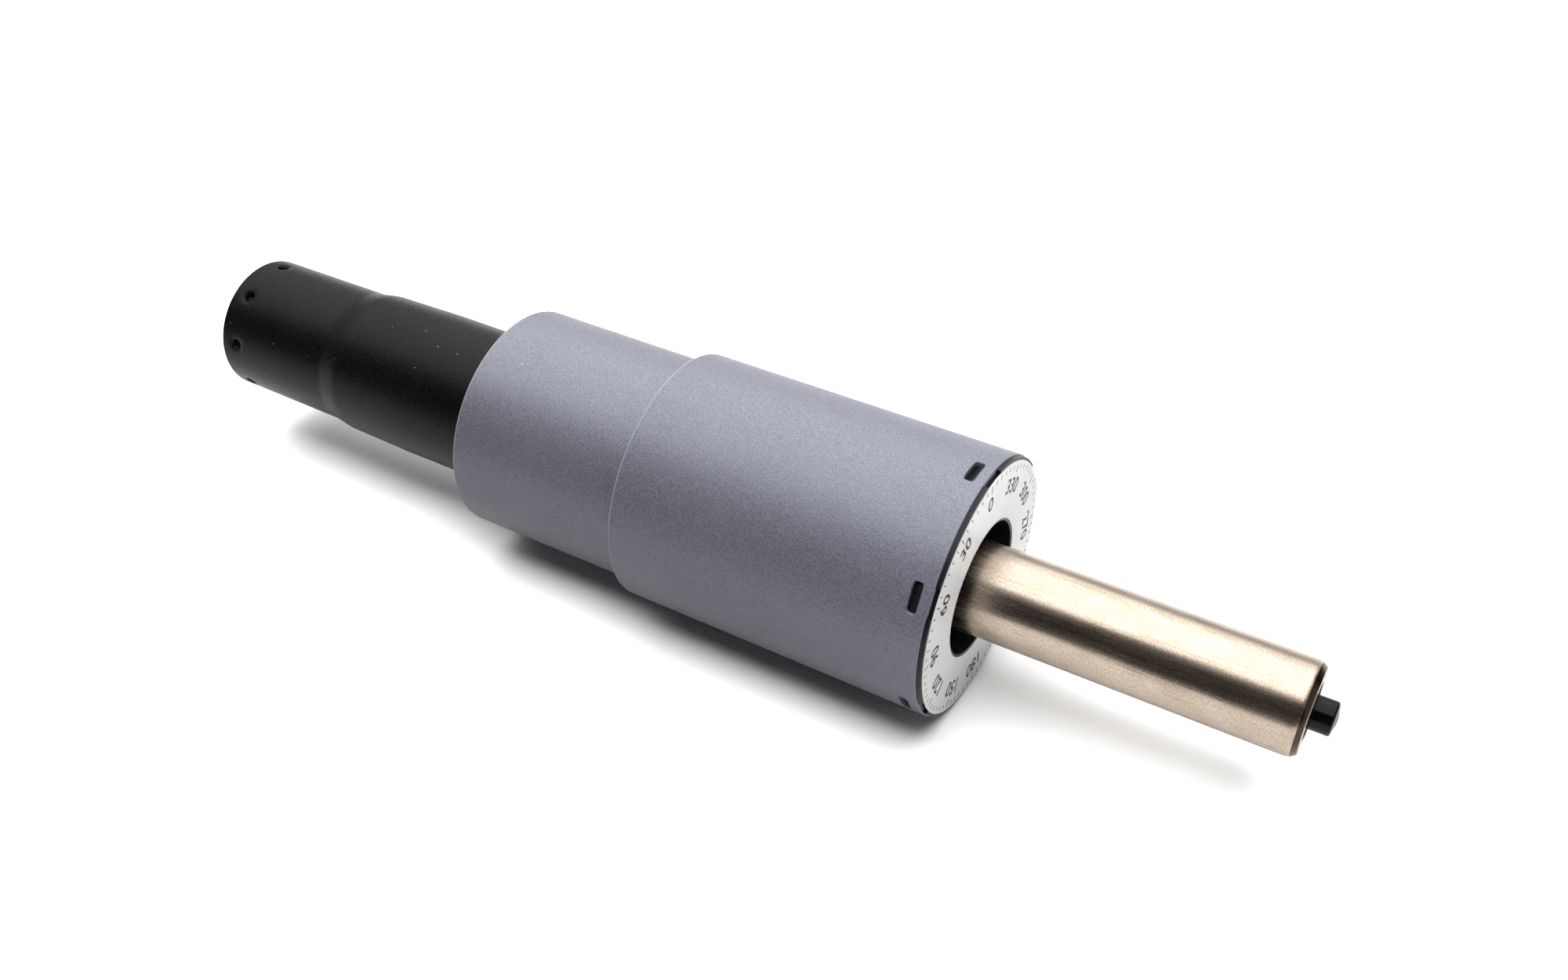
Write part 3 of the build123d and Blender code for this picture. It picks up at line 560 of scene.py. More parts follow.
def ground_steel(settings):
    """Centreless-ground steel tube, burnished brown by oil: warm, with a fine grain
    round it and smears along it."""
    material, tree, place = blank("steel_centreless_ground")
    wrap = add(tree, "ShaderNodeUVMap", uv_map="Wrap")
    drawn = add(tree, "ShaderNodeMapping", {"Vector": wrap, "Scale": (1, 0.03, 1)})
    smear = add(
        tree, "ShaderNodeTexNoise",
        {"Vector": drawn, "Scale": 1 / (1.1 * MM), "Detail": 5, "Roughness": 0.7},
    )
    # Grinding lines run round the tube. They are 0.02 mm apart, and are drawn at 0.4 mm
    ringed = add(tree, "ShaderNodeMapping", {"Vector": wrap, "Scale": (0.5, 1, 1)})
    lines = add(
        tree, "ShaderNodeTexNoise",
        {"Vector": ringed, "Scale": 1 / (0.4 * MM), "Detail": 1, "Roughness": 0.8},
    )
    cloud = add(tree, "ShaderNodeTexNoise", {"Vector": wrap, "Scale": 1 / (9 * MM), "Detail": 3})
    browned = mottle(tree, cloud, 0.35, 0.7, settings.tube, linear("#C2B19F"))
    lined = mottle(tree, lines, 0.35, 0.65, browned, linear("#6A5E52"), 0.45)
    oiled = mottle(tree, smear, 0.56, 0.7, lined, linear("#8C7250"), 0.45)
    # The chamfer at the seat end is painted dark brown: a painted dark reflection of what it mirrors
    along = add(tree, "ShaderNodeSeparateXYZ", {"Vector": place}).outputs["X"]
    chamfer_x = bpy.context.scene.gas_lift.tube.chamfer_x
    middle = (chamfer_x + TUBE_END_X) / 2
    apart = add(tree, "ShaderNodeMath", {0: along, 1: middle}, operation="SUBTRACT")
    aside = add(tree, "ShaderNodeMath", {0: apart}, operation="ABSOLUTE")
    half = (TUBE_END_X - chamfer_x) / 2
    peeled = add(tree, "ShaderNodeBump", {"Height": smear, "Distance": 0.02 * MM})
    surface(tree, smear, 0.23, 0.33, {
        "Base Color": mottle(tree, aside, half - 0.1 * MM, half - 0.2 * MM, oiled, linear("#4A3D35")),
        "Metallic": 1.0,
        "Anisotropic": 0.3,
        "Anisotropic Rotation": 0.25,
        "Tangent": add(tree, "ShaderNodeTangent", direction_type="UV_MAP", uv_map="Wrap"),
        "Normal": add(tree, "ShaderNodeBump", {"Height": lines, "Distance": 0.004 * MM, "Normal": peeled}),
    })
    return material


def marked(name, tone, share, size, rough, depth, scale, detail, start, inputs):
    """Material with marks about size apart, drawn out by scale and depth deep.

    In the marks, which begin where a noise of that detail passes start, the tone is
    multiplied by share, and the roughness goes from one value of rough to the other.
    inputs are further inputs of its shader.
    """
    material, tree, place = blank(name)
    drawn = add(tree, "ShaderNodeMapping", {"Vector": place, "Scale": scale})
    marks = add(
        tree, "ShaderNodeTexNoise",
        {"Vector": drawn, "Scale": 1 / size, "Detail": detail, "Roughness": 0.6},
    )
    surface(tree, marks, *rough, {
        "Base Color": mottle(tree, marks, start, 0.7, tone, tuple(share * value for value in tone)),
        "Normal": add(tree, "ShaderNodeBump", {"Height": marks, "Distance": depth}),
        **inputs,
    })
    return material


def plain_metal(name, tone, share, size, rough, depth, scale=(1, 1, 1)):
    """Bare metal with marks, as marked() makes them."""
    inputs = {"Metallic": 1.0}
    return marked(name, tone, share, size, rough, depth, scale, detail=4, start=0.3, inputs=inputs)


def plain_plastic(name, tone, share, size, rough, depth, scale=(1, 1, 1), specular=0.5):
    """Plastic, rubber or ink with marks, as marked() makes them."""
    inputs = {"Specular IOR Level": specular}
    return marked(name, tone, share, size, rough, depth, scale, detail=3, start=0.35, inputs=inputs)


def bright_zinc(settings):
    """Pressed steel, barrel-plated with zinc: pale, satin, with tumbling marks of 1 mm."""
    return plain_metal("steel_zinc_plated", settings.zinc, 0.72, 1.1 * MM, (0.3, 0.48), 0.01 * MM)


def polished_steel(settings):
    """Hardened steel, ground and polished: bright, with faint lines round the axis."""
    return plain_metal(
        "steel_hardened_polished", settings.hard_steel, 0.85, 0.25 * MM, (0.12, 0.22), 0.001 * MM,
        scale=(1, 0.1, 0.1),
    )


def turned_aluminium(settings):
    """Aluminium, turned on a lathe: pale, with the tool's rings 0.3 mm apart."""
    return plain_metal(
        "aluminium_turned", settings.aluminium, 0.7, 0.3 * MM, (0.24, 0.38), 0.004 * MM,
        scale=(1, 0.08, 0.08),
    )


def moulded_cap(settings):
    """Glass-filled polyamide, moulded: near black, its fibres drawn out across the lift."""
    return plain_plastic(
        "polyamide_glass_filled", settings.cap, 1.6, 1.0 * MM, (0.3, 0.42), 0.015 * MM,
        scale=(1, 0.3, 0.3), specular=0.2,
    )


def label_film(settings):
    """Polyester film, coated and die-cut: flat white with a faint ripple."""
    return plain_plastic("polyester_film_white", settings.label, 0.97, 7 * MM, (0.34, 0.42), 0.02 * MM)


def printed_ink(settings):
    """Ink-jet print on film: matt black, a little broken up where drops missed."""
    return plain_plastic("ink_jet_black", settings.ink, 2.5, 0.3 * MM, (0.45, 0.6), 0.002 * MM)


def gloss_button(settings):
    """Acetal, moulded in a polished mould and handled: gloss black, worn along its travel."""
    return plain_plastic(
        "acetal_gloss_black", settings.button, 2.2, 0.8 * MM, (0.1, 0.28), 0.02 * MM,
        scale=(0.12, 1, 1), specular=0.16,
    )


def guide_acetal(settings):
    """Acetal, moulded: waxy white and smooth."""
    return plain_plastic("acetal_natural_white", settings.bush, 0.85, 0.5 * MM, (0.3, 0.42), 0.01 * MM)


def cage_nylon(settings):
    """Nylon, moulded: amber and slightly glossy."""
    return plain_plastic("nylon_amber", settings.cage, 0.85, 0.5 * MM, (0.32, 0.45), 0.01 * MM)


def nitrile_rubber(settings):
    """Nitrile rubber, pressed in a mould: matt black."""
    return plain_plastic("nitrile_rubber_black", settings.rubber, 1.4, 0.5 * MM, (0.6, 0.75), 0.01 * MM)


@cache
def finish_of(maker):
    """The material that a maker gives, made once."""
    return maker(bpy.context.scene.gas_lift.finish)


class Undoable:
    """What every operator here has: it can be redone and undone."""

    bl_options = {"REGISTER", "UNDO"}


# Standpipe


def pipe_radius(sizes, x):
    """Outer radius at x: straight runs joined by the arcs of the neck's hollow and crown."""
    run = rounded(
        (
            (-PIPE_RADIUS, sizes.end_radius, 0),
            (PIPE_X, sizes.end_radius, 0),
            (sizes.taper_length, sizes.taper_radius, sizes.hollow_round),
            (sizes.neck_x, sizes.neck_radius, sizes.crown_round),
            (sizes.neck_end_x, PIPE_RADIUS, sizes.crown_round),
            (PIPE_END_X + PIPE_RADIUS, PIPE_RADIUS, 0),
            (0, 0, 0),
        ),
        steps=12,
    )
    outer = run[run[:, 1] > sizes.end_radius - WELD]
    return np.interp(x, outer[:, 0], outer[:, 1])


def pipe_outline(sizes):
    """Closed outline of the pipe's wall, and how many of its points are on the outside.

    It runs up the rounded rim and the outside, and down the bore. The rows are close
    together where the crimps and the neck are.
    """
    edge, near = sizes.rim_round, sizes.dent_radius
    hollow_x = 0.8 * sizes.taper_length
    places = (
        PIPE_X + edge, sizes.crimp_x - near, sizes.crimp_x + near, hollow_x, sizes.neck_end_x, PIPE_END_X
    )
    rows = (5, 38, 8, 44, 21)
    stretches = [
        np.linspace(start, end, number, endpoint=False)
        for start, end, number in zip(places, places[1:], rows)
    ]
    xs = np.append(np.concatenate(stretches), PIPE_END_X)
    radius = pipe_radius(sizes, xs)
    quarter = np.linspace(0, pi / 2, 6, endpoint=False)
    rim = np.stack((
        PIPE_X + edge * (1 - np.sin(quarter)),
        sizes.end_radius - edge + edge * np.cos(quarter),
    ), axis=1)[::-1]
    outer = np.stack((xs, radius), axis=1)
    inner = np.stack((xs, radius - sizes.wall), axis=1)[::-1]
    foot = np.array(((PIPE_X, sizes.end_radius - sizes.wall),))
    return np.concatenate((rim, outer, inner, foot)), len(rim) + len(outer)


def crimp_depth(sizes, x, radius, turn):
    """Depth of the crimps: a soft dent, cosine squared of the distance, and a punched
    hollow, which falls off with the tenth power of the distance from its middle and
    ends at the dent's edge."""
    aside = radius * from_nearest(turn, sizes.crimps, sizes.crimp_angle)
    apart = np.hypot(x - sizes.crimp_x, aside)
    soft = np.where(apart < sizes.dent_radius, np.cos(pi * apart / (2 * sizes.dent_radius)) ** 2, 0)
    punched = soft**0.2 / (1 + (apart / sizes.punch_radius) ** 10)
    return sizes.dent_depth * soft + sizes.punch_depth * punched


class GASLIFT_OT_standpipe(Undoable, bpy.types.Operator):
    """Build the standpipe: a drawn steel pipe with a taper, a neck and punched crimps"""

    bl_idname = "gaslift.standpipe"
    bl_label = "Standpipe"

    def execute(self, context):
        sizes = context.scene.gas_lift.standpipe
        outline, outside = pipe_outline(sizes)
        half = sizes.dent_radius / sizes.end_radius
        turns = turns_round(sizes.crimps, sizes.crimp_angle, half, fine=38, coarse=10)
        x, level = outline[:, :1], outline[:, 1:]
        # In the bore a crimp stands out by this share of its depth outside
        bore_share = 0.4
        share = np.where(np.arange(len(outline)) < outside, 1.0, bore_share)[:, None]
        grid = around(x, level - share * crimp_depth(sizes, x, level, turns), turns)
        piece = new_piece(
            "standpipe_shell", "column", powder_coat,
            quads(grid, True, True), wrap_of(outline, turns),
        )
        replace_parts(piece, "standpipe")
        return {"FINISHED"}


# Cover


class GASLIFT_OT_lower_sleeve(Undoable, bpy.types.Operator):
    """Build the lower sleeve: a moulded tube with an outward lip at its top"""

    bl_idname = "gaslift.lower_sleeve"
    bl_label = "Lower sleeve"

    def execute(self, context):
        sizes = context.scene.gas_lift.cover
        edge, wall = sizes.edge_round, sizes.lower_wall
        lip_x = LOWER_END_X - sizes.lip_length
        outline = rounded((
            (LOWER_X, sizes.lower_radius, sizes.rim_round),
            (lip_x, sizes.lower_top_radius, edge),
            (lip_x, LOWER_LIP_RADIUS, edge),
            (LOWER_END_X, LOWER_LIP_RADIUS, edge),
            (LOWER_END_X, sizes.lower_top_radius - wall, edge),
            (LOWER_X, sizes.lower_radius - wall, sizes.rim_round),
        ))
        piece = turned_piece(
            "lower_sleeve_shell", "lower_cover", lower_cover_plastic, outline, longest=4 * MM, columns=256
        )
        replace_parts(piece, "lower_sleeve")
        return {"FINISHED"}


def window_rings(sizes, outer_at, inner_at, half_x, half_turn, steps_x, steps_turn):
    """Points round each window: rings that grow from its outline to a square border.

    The border is walked once round in the steps of the sleeve's own grid. A window's
    outline is the border shrunk to |u|^6 + |v|^6 = 1, where u and v are the places
    along and round the lift as shares of the window's half sizes. Its rings go up
    the reveal, over a quarter round, and out to the border, on both faces.
    """
    power = 6
    u = np.linspace(-1, 1, steps_x + 1)[:-1]
    v = np.linspace(-1, 1, steps_turn + 1)[:-1]
    sides = np.concatenate((
        np.stack((u, np.full_like(u, -1)), axis=1),
        np.stack((np.full_like(v, 1), v), axis=1),
    ))
    border = np.concatenate((sides, -sides))
    shape = border / (np.sum(np.abs(border) ** power, axis=1, keepdims=True)) ** (1 / power)
    radius = outer_at(sizes.window_x)
    half_sizes = np.array((sizes.window_length / 2, sizes.window_width / 2))
    edge = sizes.edge_round
    arc = np.linspace(0, pi / 2, 5)
    spread = np.append(edge * (1 - np.cos(arc)), 2 * edge)
    sink = np.append(edge * (1 - np.sin(arc)), (0, 0))[:, None]
    rings = half_sizes * shape + unit(shape) * spread[:, None, None]
    outermost = border * np.array((half_x, half_turn * radius))
    rings = np.concatenate((rings, outermost[None]))
    x, turn = sizes.window_x + rings[..., 0], rings[..., 1] / radius
    outside = np.stack((x, outer_at(x) - sink, turn), axis=-1)
    inside = np.stack((x, inner_at(x) + sink, turn), axis=-1)
    column = np.concatenate((inside[::-1], outside))
    places = sizes.window_angle + TURN / sizes.windows * np.arange(sizes.windows)
    return [around(column[..., 0], column[..., 1], column[..., 2] + place) for place in places]


class GASLIFT_OT_upper_sleeve(Undoable, bpy.types.Operator):
    """Build the upper sleeve: a moulded tube with snap windows and an inward lip"""

    bl_idname = "gaslift.upper_sleeve"
    bl_label = "Upper sleeve"

    def execute(self, context):
        sizes = context.scene.gas_lift.cover
        edge, wall = sizes.edge_round, sizes.upper_wall
        lip_x = UPPER_X + sizes.lip_length
        lip_bore = sizes.lower_top_radius + sizes.sleeve_gap
        # The windows' borders: half their length and width, and the steps along them
        half_x, half_turn = sizes.window_length, 6.6 * MM / UPPER_RADIUS
        steps_x, steps_turn = 8, 32

        def outer_at(x):
            return np.interp(x, (UPPER_X, UPPER_END_X), (sizes.upper_rim_radius, UPPER_RADIUS))

        def inner_at(x):
            return np.interp(x, (lip_x, UPPER_END_X), (sizes.upper_rim_radius, UPPER_RADIUS)) - wall

        low, high = sizes.window_x - half_x, sizes.window_x + half_x
        outline = rounded((
            (UPPER_X, sizes.upper_rim_radius, sizes.rim_round),
            (UPPER_END_X, UPPER_RADIUS, edge),
            (UPPER_END_X, UPPER_RADIUS - wall, edge),
            (lip_x, sizes.upper_rim_radius - wall, edge),
            (lip_x, lip_bore, edge),
            (UPPER_X, lip_bore, edge),
        ))
        outline = self.with_window_rows(outline, low, high, steps_x, outer_at, inner_at)
        turns = turns_round(sizes.windows, sizes.window_angle, half_turn, steps_turn, coarse=22)
        grid = around(outline[:, :1], outline[:, 1:], turns)
        closed = np.concatenate((outline, outline[:1]))
        middle_x = (closed[1:, 0] + closed[:-1, 0]) / 2
        middle_turn = turns + np.diff(np.append(turns, turns[0] + TURN)) / 2
        beside = np.abs(from_nearest(middle_turn, sizes.windows, sizes.window_angle)) < half_turn
        across = (middle_x > low) & (middle_x < high)
        keep = ~(across[:, None] & beside[None, :])
        rings = window_rings(sizes, outer_at, inner_at, half_x, half_turn, steps_x, steps_turn)
        corners = np.concatenate([
            quads(grid, True, True, keep),
            *(quads(ring, False, True) for ring in rings),
        ])
        piece = new_piece("upper_sleeve_shell", "upper_cover", upper_cover_plastic, corners)
        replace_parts(piece, "upper_sleeve")
        return {"FINISHED"}

    def with_window_rows(self, outline, low, high, steps, outer_at, inner_at):
        """The outline with rows where the windows' borders need them, on both faces."""
        outline = refined(outline, longest=4 * MM)
        rows = np.linspace(low, high, steps + 1)
        spare = 0.1 * MM
        far = np.abs(outline[:, 0] - (low + high) / 2) > (high - low) / 2 + spare
        kept = outline[far]
        split = np.argmax(kept[:, 0] > high)
        back = len(kept) - np.argmax(kept[::-1, 0] > high)
        outer = np.stack((rows, outer_at(rows)), axis=1)
        inner = np.stack((rows, inner_at(rows)), axis=1)[::-1]
        return np.concatenate((kept[:split], outer, kept[split:back], inner, kept[back:]))


class GASLIFT_OT_end_cap(Undoable, bpy.types.Operator):
    """Build the end cap with its moulded edges broken"""

    bl_idname = "gaslift.end_cap"
    bl_label = "End cap"

    def execute(self, context):
        piece = eased_copy("end_cap", "end_cap_moulding", "upper_cover", moulded_cap, width=0.2 * MM)
        return {"FINISHED"}


# Label


def tick_quads(sizes):
    """Quads of the ticks: flat boxes round the dial, with a long one at each number."""
    turn = even_turns(sizes.ticks)
    at_number = np.arange(sizes.ticks) % (sizes.ticks // sizes.numbers) == 0
    size = np.where(at_number, sizes.long_tick, sizes.short_tick)
    half = sizes.tick_width / 2 / sizes.tick_radius
    side = np.array((-half, -half, half, half, -half))
    top = np.array((0, 1, 1, 0, 0))
    height = np.array((0, 1)) * sizes.ink_height
    radius = sizes.tick_radius - size[:, None] * top
    boxes = around(
        LABEL_FACE_X + height[None, :, None], radius[:, None, :], (turn[:, None] + side)[:, None, :]
    )
    walls = np.concatenate([quads(box) for box in boxes])
    lids = boxes[:, 1, :4][:, ::-1]
    floors = boxes[:, 0, :4]
    return np.concatenate((walls, lids, floors))


def number_mesh(text, height, thickness):
    """Vertices (x, y, z) and faces of a printed number, centred, its foot at y = 0.

    A digit is 0.7 of the font's size high, and its strokes are made a little bolder.
    """
    curve = bpy.data.curves.new("number", "FONT")
    curve.body = text
    curve.size = height / 0.7
    curve.align_x = "CENTER"
    curve.resolution_u = 3
    curve.offset = height / 45
    curve.extrude = thickness / 2
    holder = bpy.data.objects.new("number", curve)
    mesh = bpy.data.meshes.new_from_object(holder)
    place = np.empty(len(mesh.vertices) * 3)
    mesh.vertices.foreach_get("co", place)
    faces = [tuple(face.vertices) for face in mesh.polygons]
    bpy.data.objects.remove(holder)
    bpy.data.curves.remove(curve)
    bpy.data.meshes.remove(mesh)
    return place.reshape(-1, 3), faces


class GASLIFT_OT_label(Undoable, bpy.types.Operator):
    """Build the label disc and the plain dial that is printed on it"""

    bl_idname = "gaslift.label"
    bl_label = "Label"

    def execute(self, context):
        sizes = context.scene.gas_lift.label
        edge = sizes.edge_round
        outline = rounded((
            (LABEL_X, LABEL_RADIUS, 0),
            (LABEL_FACE_X, LABEL_RADIUS, edge),
            (LABEL_FACE_X, sizes.inner_radius, edge),
            (LABEL_X, sizes.inner_radius, 0),
        ), steps=3, hold=edge)
        film = turned_piece(
            "label_film_disc", "upper_cover", label_film, outline, longest=3 * MM, columns=192
        )
        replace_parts(film, "label_disc")
        self.print_dial(sizes)
        return {"FINISHED"}

    def print_dial(self, sizes):
        """The dial: ticks, and numbers in degrees that grow evenly round it."""
        new_piece("label_dial_ticks", "upper_cover", printed_ink, tick_quads(sizes))
        step = 360 // sizes.numbers
        points, faces, used = [], [], 0
        middle = sizes.number_radius + sizes.number_height / 2
        for number in range(sizes.numbers):
            place, shape = number_mesh(str(number * step), sizes.number_height, sizes.ink_height)
            turn = TURN * number / sizes.numbers
            x = LABEL_FACE_X + sizes.ink_height / 2 + place[:, 2]
            points.append(around(x, sizes.number_radius + place[:, 1], turn - place[:, 0] / middle))
            faces += [tuple(corner + used for corner in face) for face in shape]
            used += len(place)
        mesh = bpy.data.meshes.new("label_dial_numbers")
        mesh.from_pydata(np.concatenate(points), [], faces)
        finish_piece("label_dial_numbers", "upper_cover", printed_ink, mesh)


# Pressure tube and button


class GASLIFT_OT_pressure_tube(Undoable, bpy.types.Operator):
    """Build the pressure tube: ground steel, rolled in at both ends"""

    bl_idname = "gaslift.pressure_tube"
    bl_label = "Pressure tube"

    def execute(self, context):
        sizes = context.scene.gas_lift.tube
        edge, foot = sizes.edge_round, sizes.foot_chamfer
        bore = TUBE_RADIUS - sizes.wall
        outline = rounded((
            (TUBE_X, sizes.running_radius - foot, edge),
            (TUBE_X + foot, sizes.running_radius, edge),
            (sizes.step_x, sizes.running_radius, 0),
            (sizes.step_x, TUBE_RADIUS, 0),
            (sizes.chamfer_x, TUBE_RADIUS, sizes.chamfer_round),
            (TUBE_END_X, sizes.face_radius, edge),
            (TUBE_END_X, sizes.mouth_radius, edge),
            (TUBE_END_X - sizes.lip, sizes.mouth_radius, 0),
            (TUBE_END_X - sizes.lip, bore, 0),
            (TUBE_X + sizes.lip, bore, 0),
            (TUBE_X + sizes.lip, sizes.foot_mouth_radius, 0),
            (TUBE_X, sizes.foot_mouth_radius, edge),
        ), hold=0.05 * MM)
        piece = turned_piece(
            "pressure_tube_shell", "gas_cylinder", ground_steel, outline, longest=4 * MM, columns=160
        )
        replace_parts(piece, "pressure_tube")
        return {"FINISHED"}


class GASLIFT_OT_release_button(Undoable, bpy.types.Operator):
    """Build the release button: a moulded cap with a dimple in its domed end"""

    bl_idname = "gaslift.release_button"
    bl_label = "Release button"

    def execute(self, context):
        sizes = context.scene.gas_lift.tube
        edge = sizes.button_round
        _, pin_end_x, _ = reach_of("valve_pin")
        socket = 2 * MM
        dimple_x, dimple_floor = BUTTON_END_X - sizes.dimple_depth, 0.7 * sizes.dimple_radius
        outline = rounded((
            (BUTTON_X, BUTTON_RADIUS, edge),
            (BUTTON_END_X - sizes.button_dome, BUTTON_RADIUS, edge),
            (BUTTON_END_X, sizes.dimple_radius, edge / 2),
            (dimple_x, dimple_floor, edge / 2),
            (dimple_x, 0, 0),
            (pin_end_x, 0, 0),
            (pin_end_x, socket, 0),
            (BUTTON_X, socket, 0),
        ), hold=0.1 * MM)
        piece = turned_piece(
            "release_button_shell", "release", gloss_button, outline, longest=2 * MM, columns=96
        )
        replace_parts(piece, "release_button")
        return {"FINISHED"}


# Pieces of the two ends that show, and the inner pieces


class GASLIFT_OT_end_fittings(Undoable, bpy.types.Operator):
    """Break the edges of the fittings that show at the two ends"""

    bl_idname = "gaslift.end_fittings"
    bl_label = "End fittings"

    def execute(self, context):
        # Node, piece, body, finish, width of the broken edges, and slot
        fittings = (
            ("end_plate", "end_plate_pressing", "column", bright_zinc, 0.25 * MM, "plain_steel"),
            ("end_washer", "end_washer_pressing", "rod", bright_zinc, 0.15 * MM, "plain_steel"),
            ("retaining_clip", "retaining_clip_spring", "rod", bright_zinc, 0.15 * MM, "plain_steel"),
            ("piston_rod", "piston_rod_bar", "rod", polished_steel, 0.12 * MM, "hard_steel"),
            ("valve_body", "valve_body_turning", "gas_cylinder", turned_aluminium, 0.1 * MM, "valve_metal"),
            ("guide_bush", "guide_bush_moulding", "column", guide_acetal, 0.15 * MM, "bush_plastic"),
        )
        for node, name, body, maker, width, slot in fittings:
            eased_copy(node, name, body, maker, width)
        return {"FINISHED"}


class GASLIFT_OT_inner_parts(Undoable, bpy.types.Operator):
    """Give the inner pieces, which stay as the frame has them, their finishes"""

    bl_idname = "gaslift.inner_parts"
    bl_label = "Inner parts"

    def execute(self, context):
        makers = {
            bright_zinc: ("buffer_washer", "piston_nut", "inner_tube", "seal_washer"),
            polished_steel: ("bearing_lower_race", "bearing_balls", "bearing_upper_race", "valve_pin"),
            turned_aluminium: ("piston", "rod_guide"),
            cage_nylon: ("bearing_cage",),
            nitrile_rubber: ("buffer", "piston_seal", "rod_seal", "valve_rings", "pin_seal"),
        }
        for maker, nodes in makers.items():
            for node in nodes:
                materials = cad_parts[node].data.materials
                materials.clear()
                materials.append(finish_of(maker))
        return {"FINISHED"}


# Stage


def aimed(name, data, place, way):
    """Object of a lamp or camera at place, level, that looks that way."""
    holder = in_scene(name, data)
    holder.location = place
    holder.rotation_euler = Vector(way).to_track_quat("-Z", "Y").to_euler()
    return holder


def panel(name, place, aim, size, brightness):
    """Soft rectangular lamp at place, facing aim, of that size and brightness.

    A lamp of area A gives brightness * pi * A watts to be that bright on its face.
    """
    lamp = bpy.data.lights.new(name, "AREA")
    lamp.shape = "RECTANGLE"
    lamp.size, lamp.size_y = size
    lamp.energy = brightness * pi * size[0] * size[1]
    holder = aimed(name, lamp, place, Vector(aim) - Vector(place))
    holder.visible_camera = False
    return holder


def floor_paper(settings):
    """Seamless paper: white where it is looked at, and pale where it is mirrored. To other
    light it is grey, and turns white past the seat end."""
    material, tree, place = blank("seamless_paper")
    rays = add(tree, "ShaderNodeLightPath")
    along = add(tree, "ShaderNodeSeparateXYZ", {"Vector": place}).outputs["X"]
    turned_white_x = CAP_X + 150 * MM
    tone = mottle(tree, along, CAP_X, turned_white_x, settings.bounce, settings.paper)
    unseen = mottle(tree, rays.outputs["Is Glossy Ray"], 0, 1, tone, settings.mirrored)
    shown = mottle(tree, rays.outputs["Is Camera Ray"], 0, 1, unseen, settings.paper)
    paper = add(tree, "ShaderNodeBsdfDiffuse", {"Color": shown})
    add(tree, "ShaderNodeOutputMaterial", {"Surface": paper})
    return material


def room_world(settings):
    """Room: white to the camera, and nearly dark to the lift, which the lamps light."""
    world = bpy.data.worlds.new("room")
    world.use_nodes = True
    tree = world.node_tree
    tree.nodes.clear()
    rays = add(tree, "ShaderNodeLightPath")
    dark = add(tree, "ShaderNodeBackground", {"Color": settings.room})
    white = add(tree, "ShaderNodeBackground", {"Color": settings.paper})
    mix = add(tree, "ShaderNodeMixShader", {0: rays.outputs["Is Camera Ray"], 1: dark, 2: white})
    add(tree, "ShaderNodeOutputWorld", {"Surface": mix})
    return world


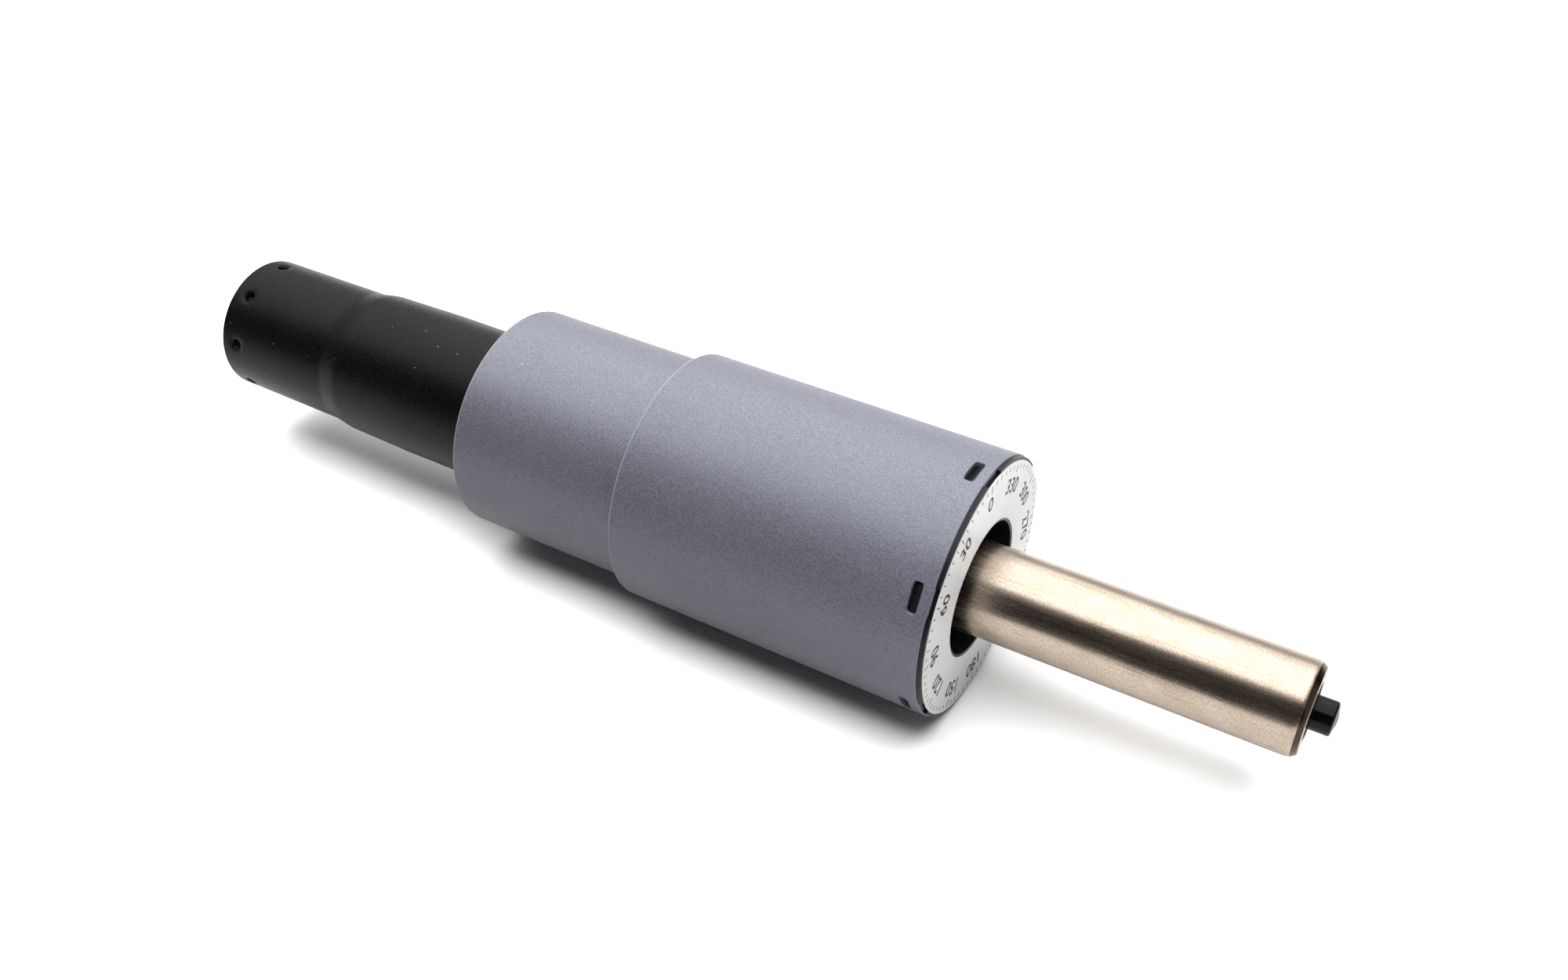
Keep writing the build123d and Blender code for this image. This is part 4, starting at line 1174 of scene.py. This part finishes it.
class GASLIFT_OT_stage(Undoable, bpy.types.Operator):
    """Set out the floor, the lamps, the room and the camera"""

    bl_idname = "gaslift.stage"
    bl_label = "Stage"

    def execute(self, context):
        sizes = context.scene.gas_lift.stage
        floor = self.lay_floor(sizes)
        self.hang_lamps(sizes)
        self.wash_floor(sizes, floor)
        context.scene.world = room_world(sizes)
        context.scene.camera = self.set_camera(sizes)
        context.scene.view_settings.view_transform = "Standard"
        return {"FINISHED"}

    def lay_floor(self, sizes):
        """Floor: one sheet at the height of the lift's lowest point, which ends in front."""
        side = sizes.floor_size / 2
        x, y = np.meshgrid((-side, side), (-sizes.floor_front, side))
        sheet = np.stack((x, y, np.full_like(x, FLOOR)), axis=-1)
        mesh = bpy.data.meshes.new("floor")
        mesh.from_pydata(sheet.reshape(-1, 3), [], [(0, 1, 3, 2)])
        mesh.materials.append(floor_paper(sizes))
        floor = in_scene("floor", mesh)
        return floor

    def hang_lamps(self, sizes):
        """Soft boxes overhead, and panels behind and past both ends; the front is open.

        Places are worked out from high, the lamps' height, and sizes are shares of it.
        The lamps stand well towards the lower end.
        """
        high = sizes.lamp_height
        middle = (PIPE_X + BUTTON_END_X) / 2 - 0.3 * high
        centre = (middle, 0, 0)
        lamps = (
            ("soft_box", (middle, -0.17 * high, high), (middle, -0.17 * high, 0), (1.8, 0.8), sizes.soft_box),
            ("rear_box", (middle, 0.67 * high, high), (middle, 0.67 * high, 0), (1.8, 0.88), sizes.rear_box),
            ("high_panel", (middle, 1.17 * high, 0.73 * high), centre, (1.8, 0.48), sizes.high_panel),
            ("low_panel", (middle, 1.39 * high, 0.27 * high), centre, (1.8, 0.54), sizes.low_panel),
            ("seat_end_panel", (1.1 * high, 0, 0.4 * high), (0, 0, 0.2 * high), (1.0, 0.8), sizes.side_panel),
            ("lower_end_panel", (-high, 0.3 * high, 0.4 * high), (0, 0, 0), (1.2, 0.8), sizes.end_panel),
        )
        for name, place, aim, share, brightness in lamps:
            panel(name, place, aim, (share[0] * high, share[1] * high), brightness)

    def wash_floor(self, sizes, floor):
        """Lamp that lights the floor alone, a little from the front, so that the lift's
        shadow stays close under it."""
        high = sizes.lamp_height
        middle = (PIPE_X + BUTTON_END_X) / 2
        wash = panel(
            "floor_wash", (middle, -0.15 * high, high), (middle, 0, 0),
            (1.2 * high, 0.6 * high), sizes.floor_wash,
        )
        lit = bpy.data.collections.new("floor_wash_lights")
        lit.objects.link(floor)
        wash.light_linking.receiver_collection = lit

    def set_camera(self, sizes):
        """Camera at its place, level, looking along its aim, with a frame 36 mm wide."""
        camera = bpy.data.cameras.new("camera")
        camera.lens = sizes.lens
        camera.sensor_width = 36
        return aimed("camera", camera, sizes.camera_place, sizes.camera_aim)


OPERATORS = (
    GASLIFT_OT_standpipe,
    GASLIFT_OT_lower_sleeve,
    GASLIFT_OT_upper_sleeve,
    GASLIFT_OT_end_cap,
    GASLIFT_OT_label,
    GASLIFT_OT_pressure_tube,
    GASLIFT_OT_release_button,
    GASLIFT_OT_end_fittings,
    GASLIFT_OT_inner_parts,
    GASLIFT_OT_stage,
)


class GASLIFT_PT_panel(bpy.types.Panel):
    """Sidebar panel that lists the gas lift's pieces and settings"""

    bl_idname = "GASLIFT_PT_panel"
    bl_label = "Gas Lift"
    bl_space_type = "VIEW_3D"
    bl_region_type = "UI"
    bl_category = "Gas Lift"

    def draw(self, context):
        for operator in OPERATORS:
            self.layout.operator(operator.bl_idname)
        for title in GasLiftSettings.__annotations__:
            box = self.layout.box()
            box.label(text=title.capitalize())
            group = getattr(context.scene.gas_lift, title)
            for name in group.__annotations__:
                box.prop(group, name)


CLASSES = (
    StandpipeSettings,
    CoverSettings,
    TubeSettings,
    LabelSettings,
    FinishSettings,
    StageSettings,
    GasLiftSettings,
    *OPERATORS,
    GASLIFT_PT_panel,
)


def register():
    """Register the classes and hang the settings on the scene."""
    for cls in CLASSES:
        bpy.utils.register_class(cls)
    bpy.types.Scene.gas_lift = PointerProperty(type=GasLiftSettings)


def unregister():
    """Take the settings off the scene and unregister the classes."""
    del bpy.types.Scene.gas_lift
    for cls in reversed(CLASSES):
        bpy.utils.unregister_class(cls)


def main():
    """Build the lift and its stage."""
    register()
    for operator in OPERATORS:
        group, name = operator.bl_idname.split(".")
        getattr(getattr(bpy.ops, group), name)()


if __name__ == "__main__":
    main()
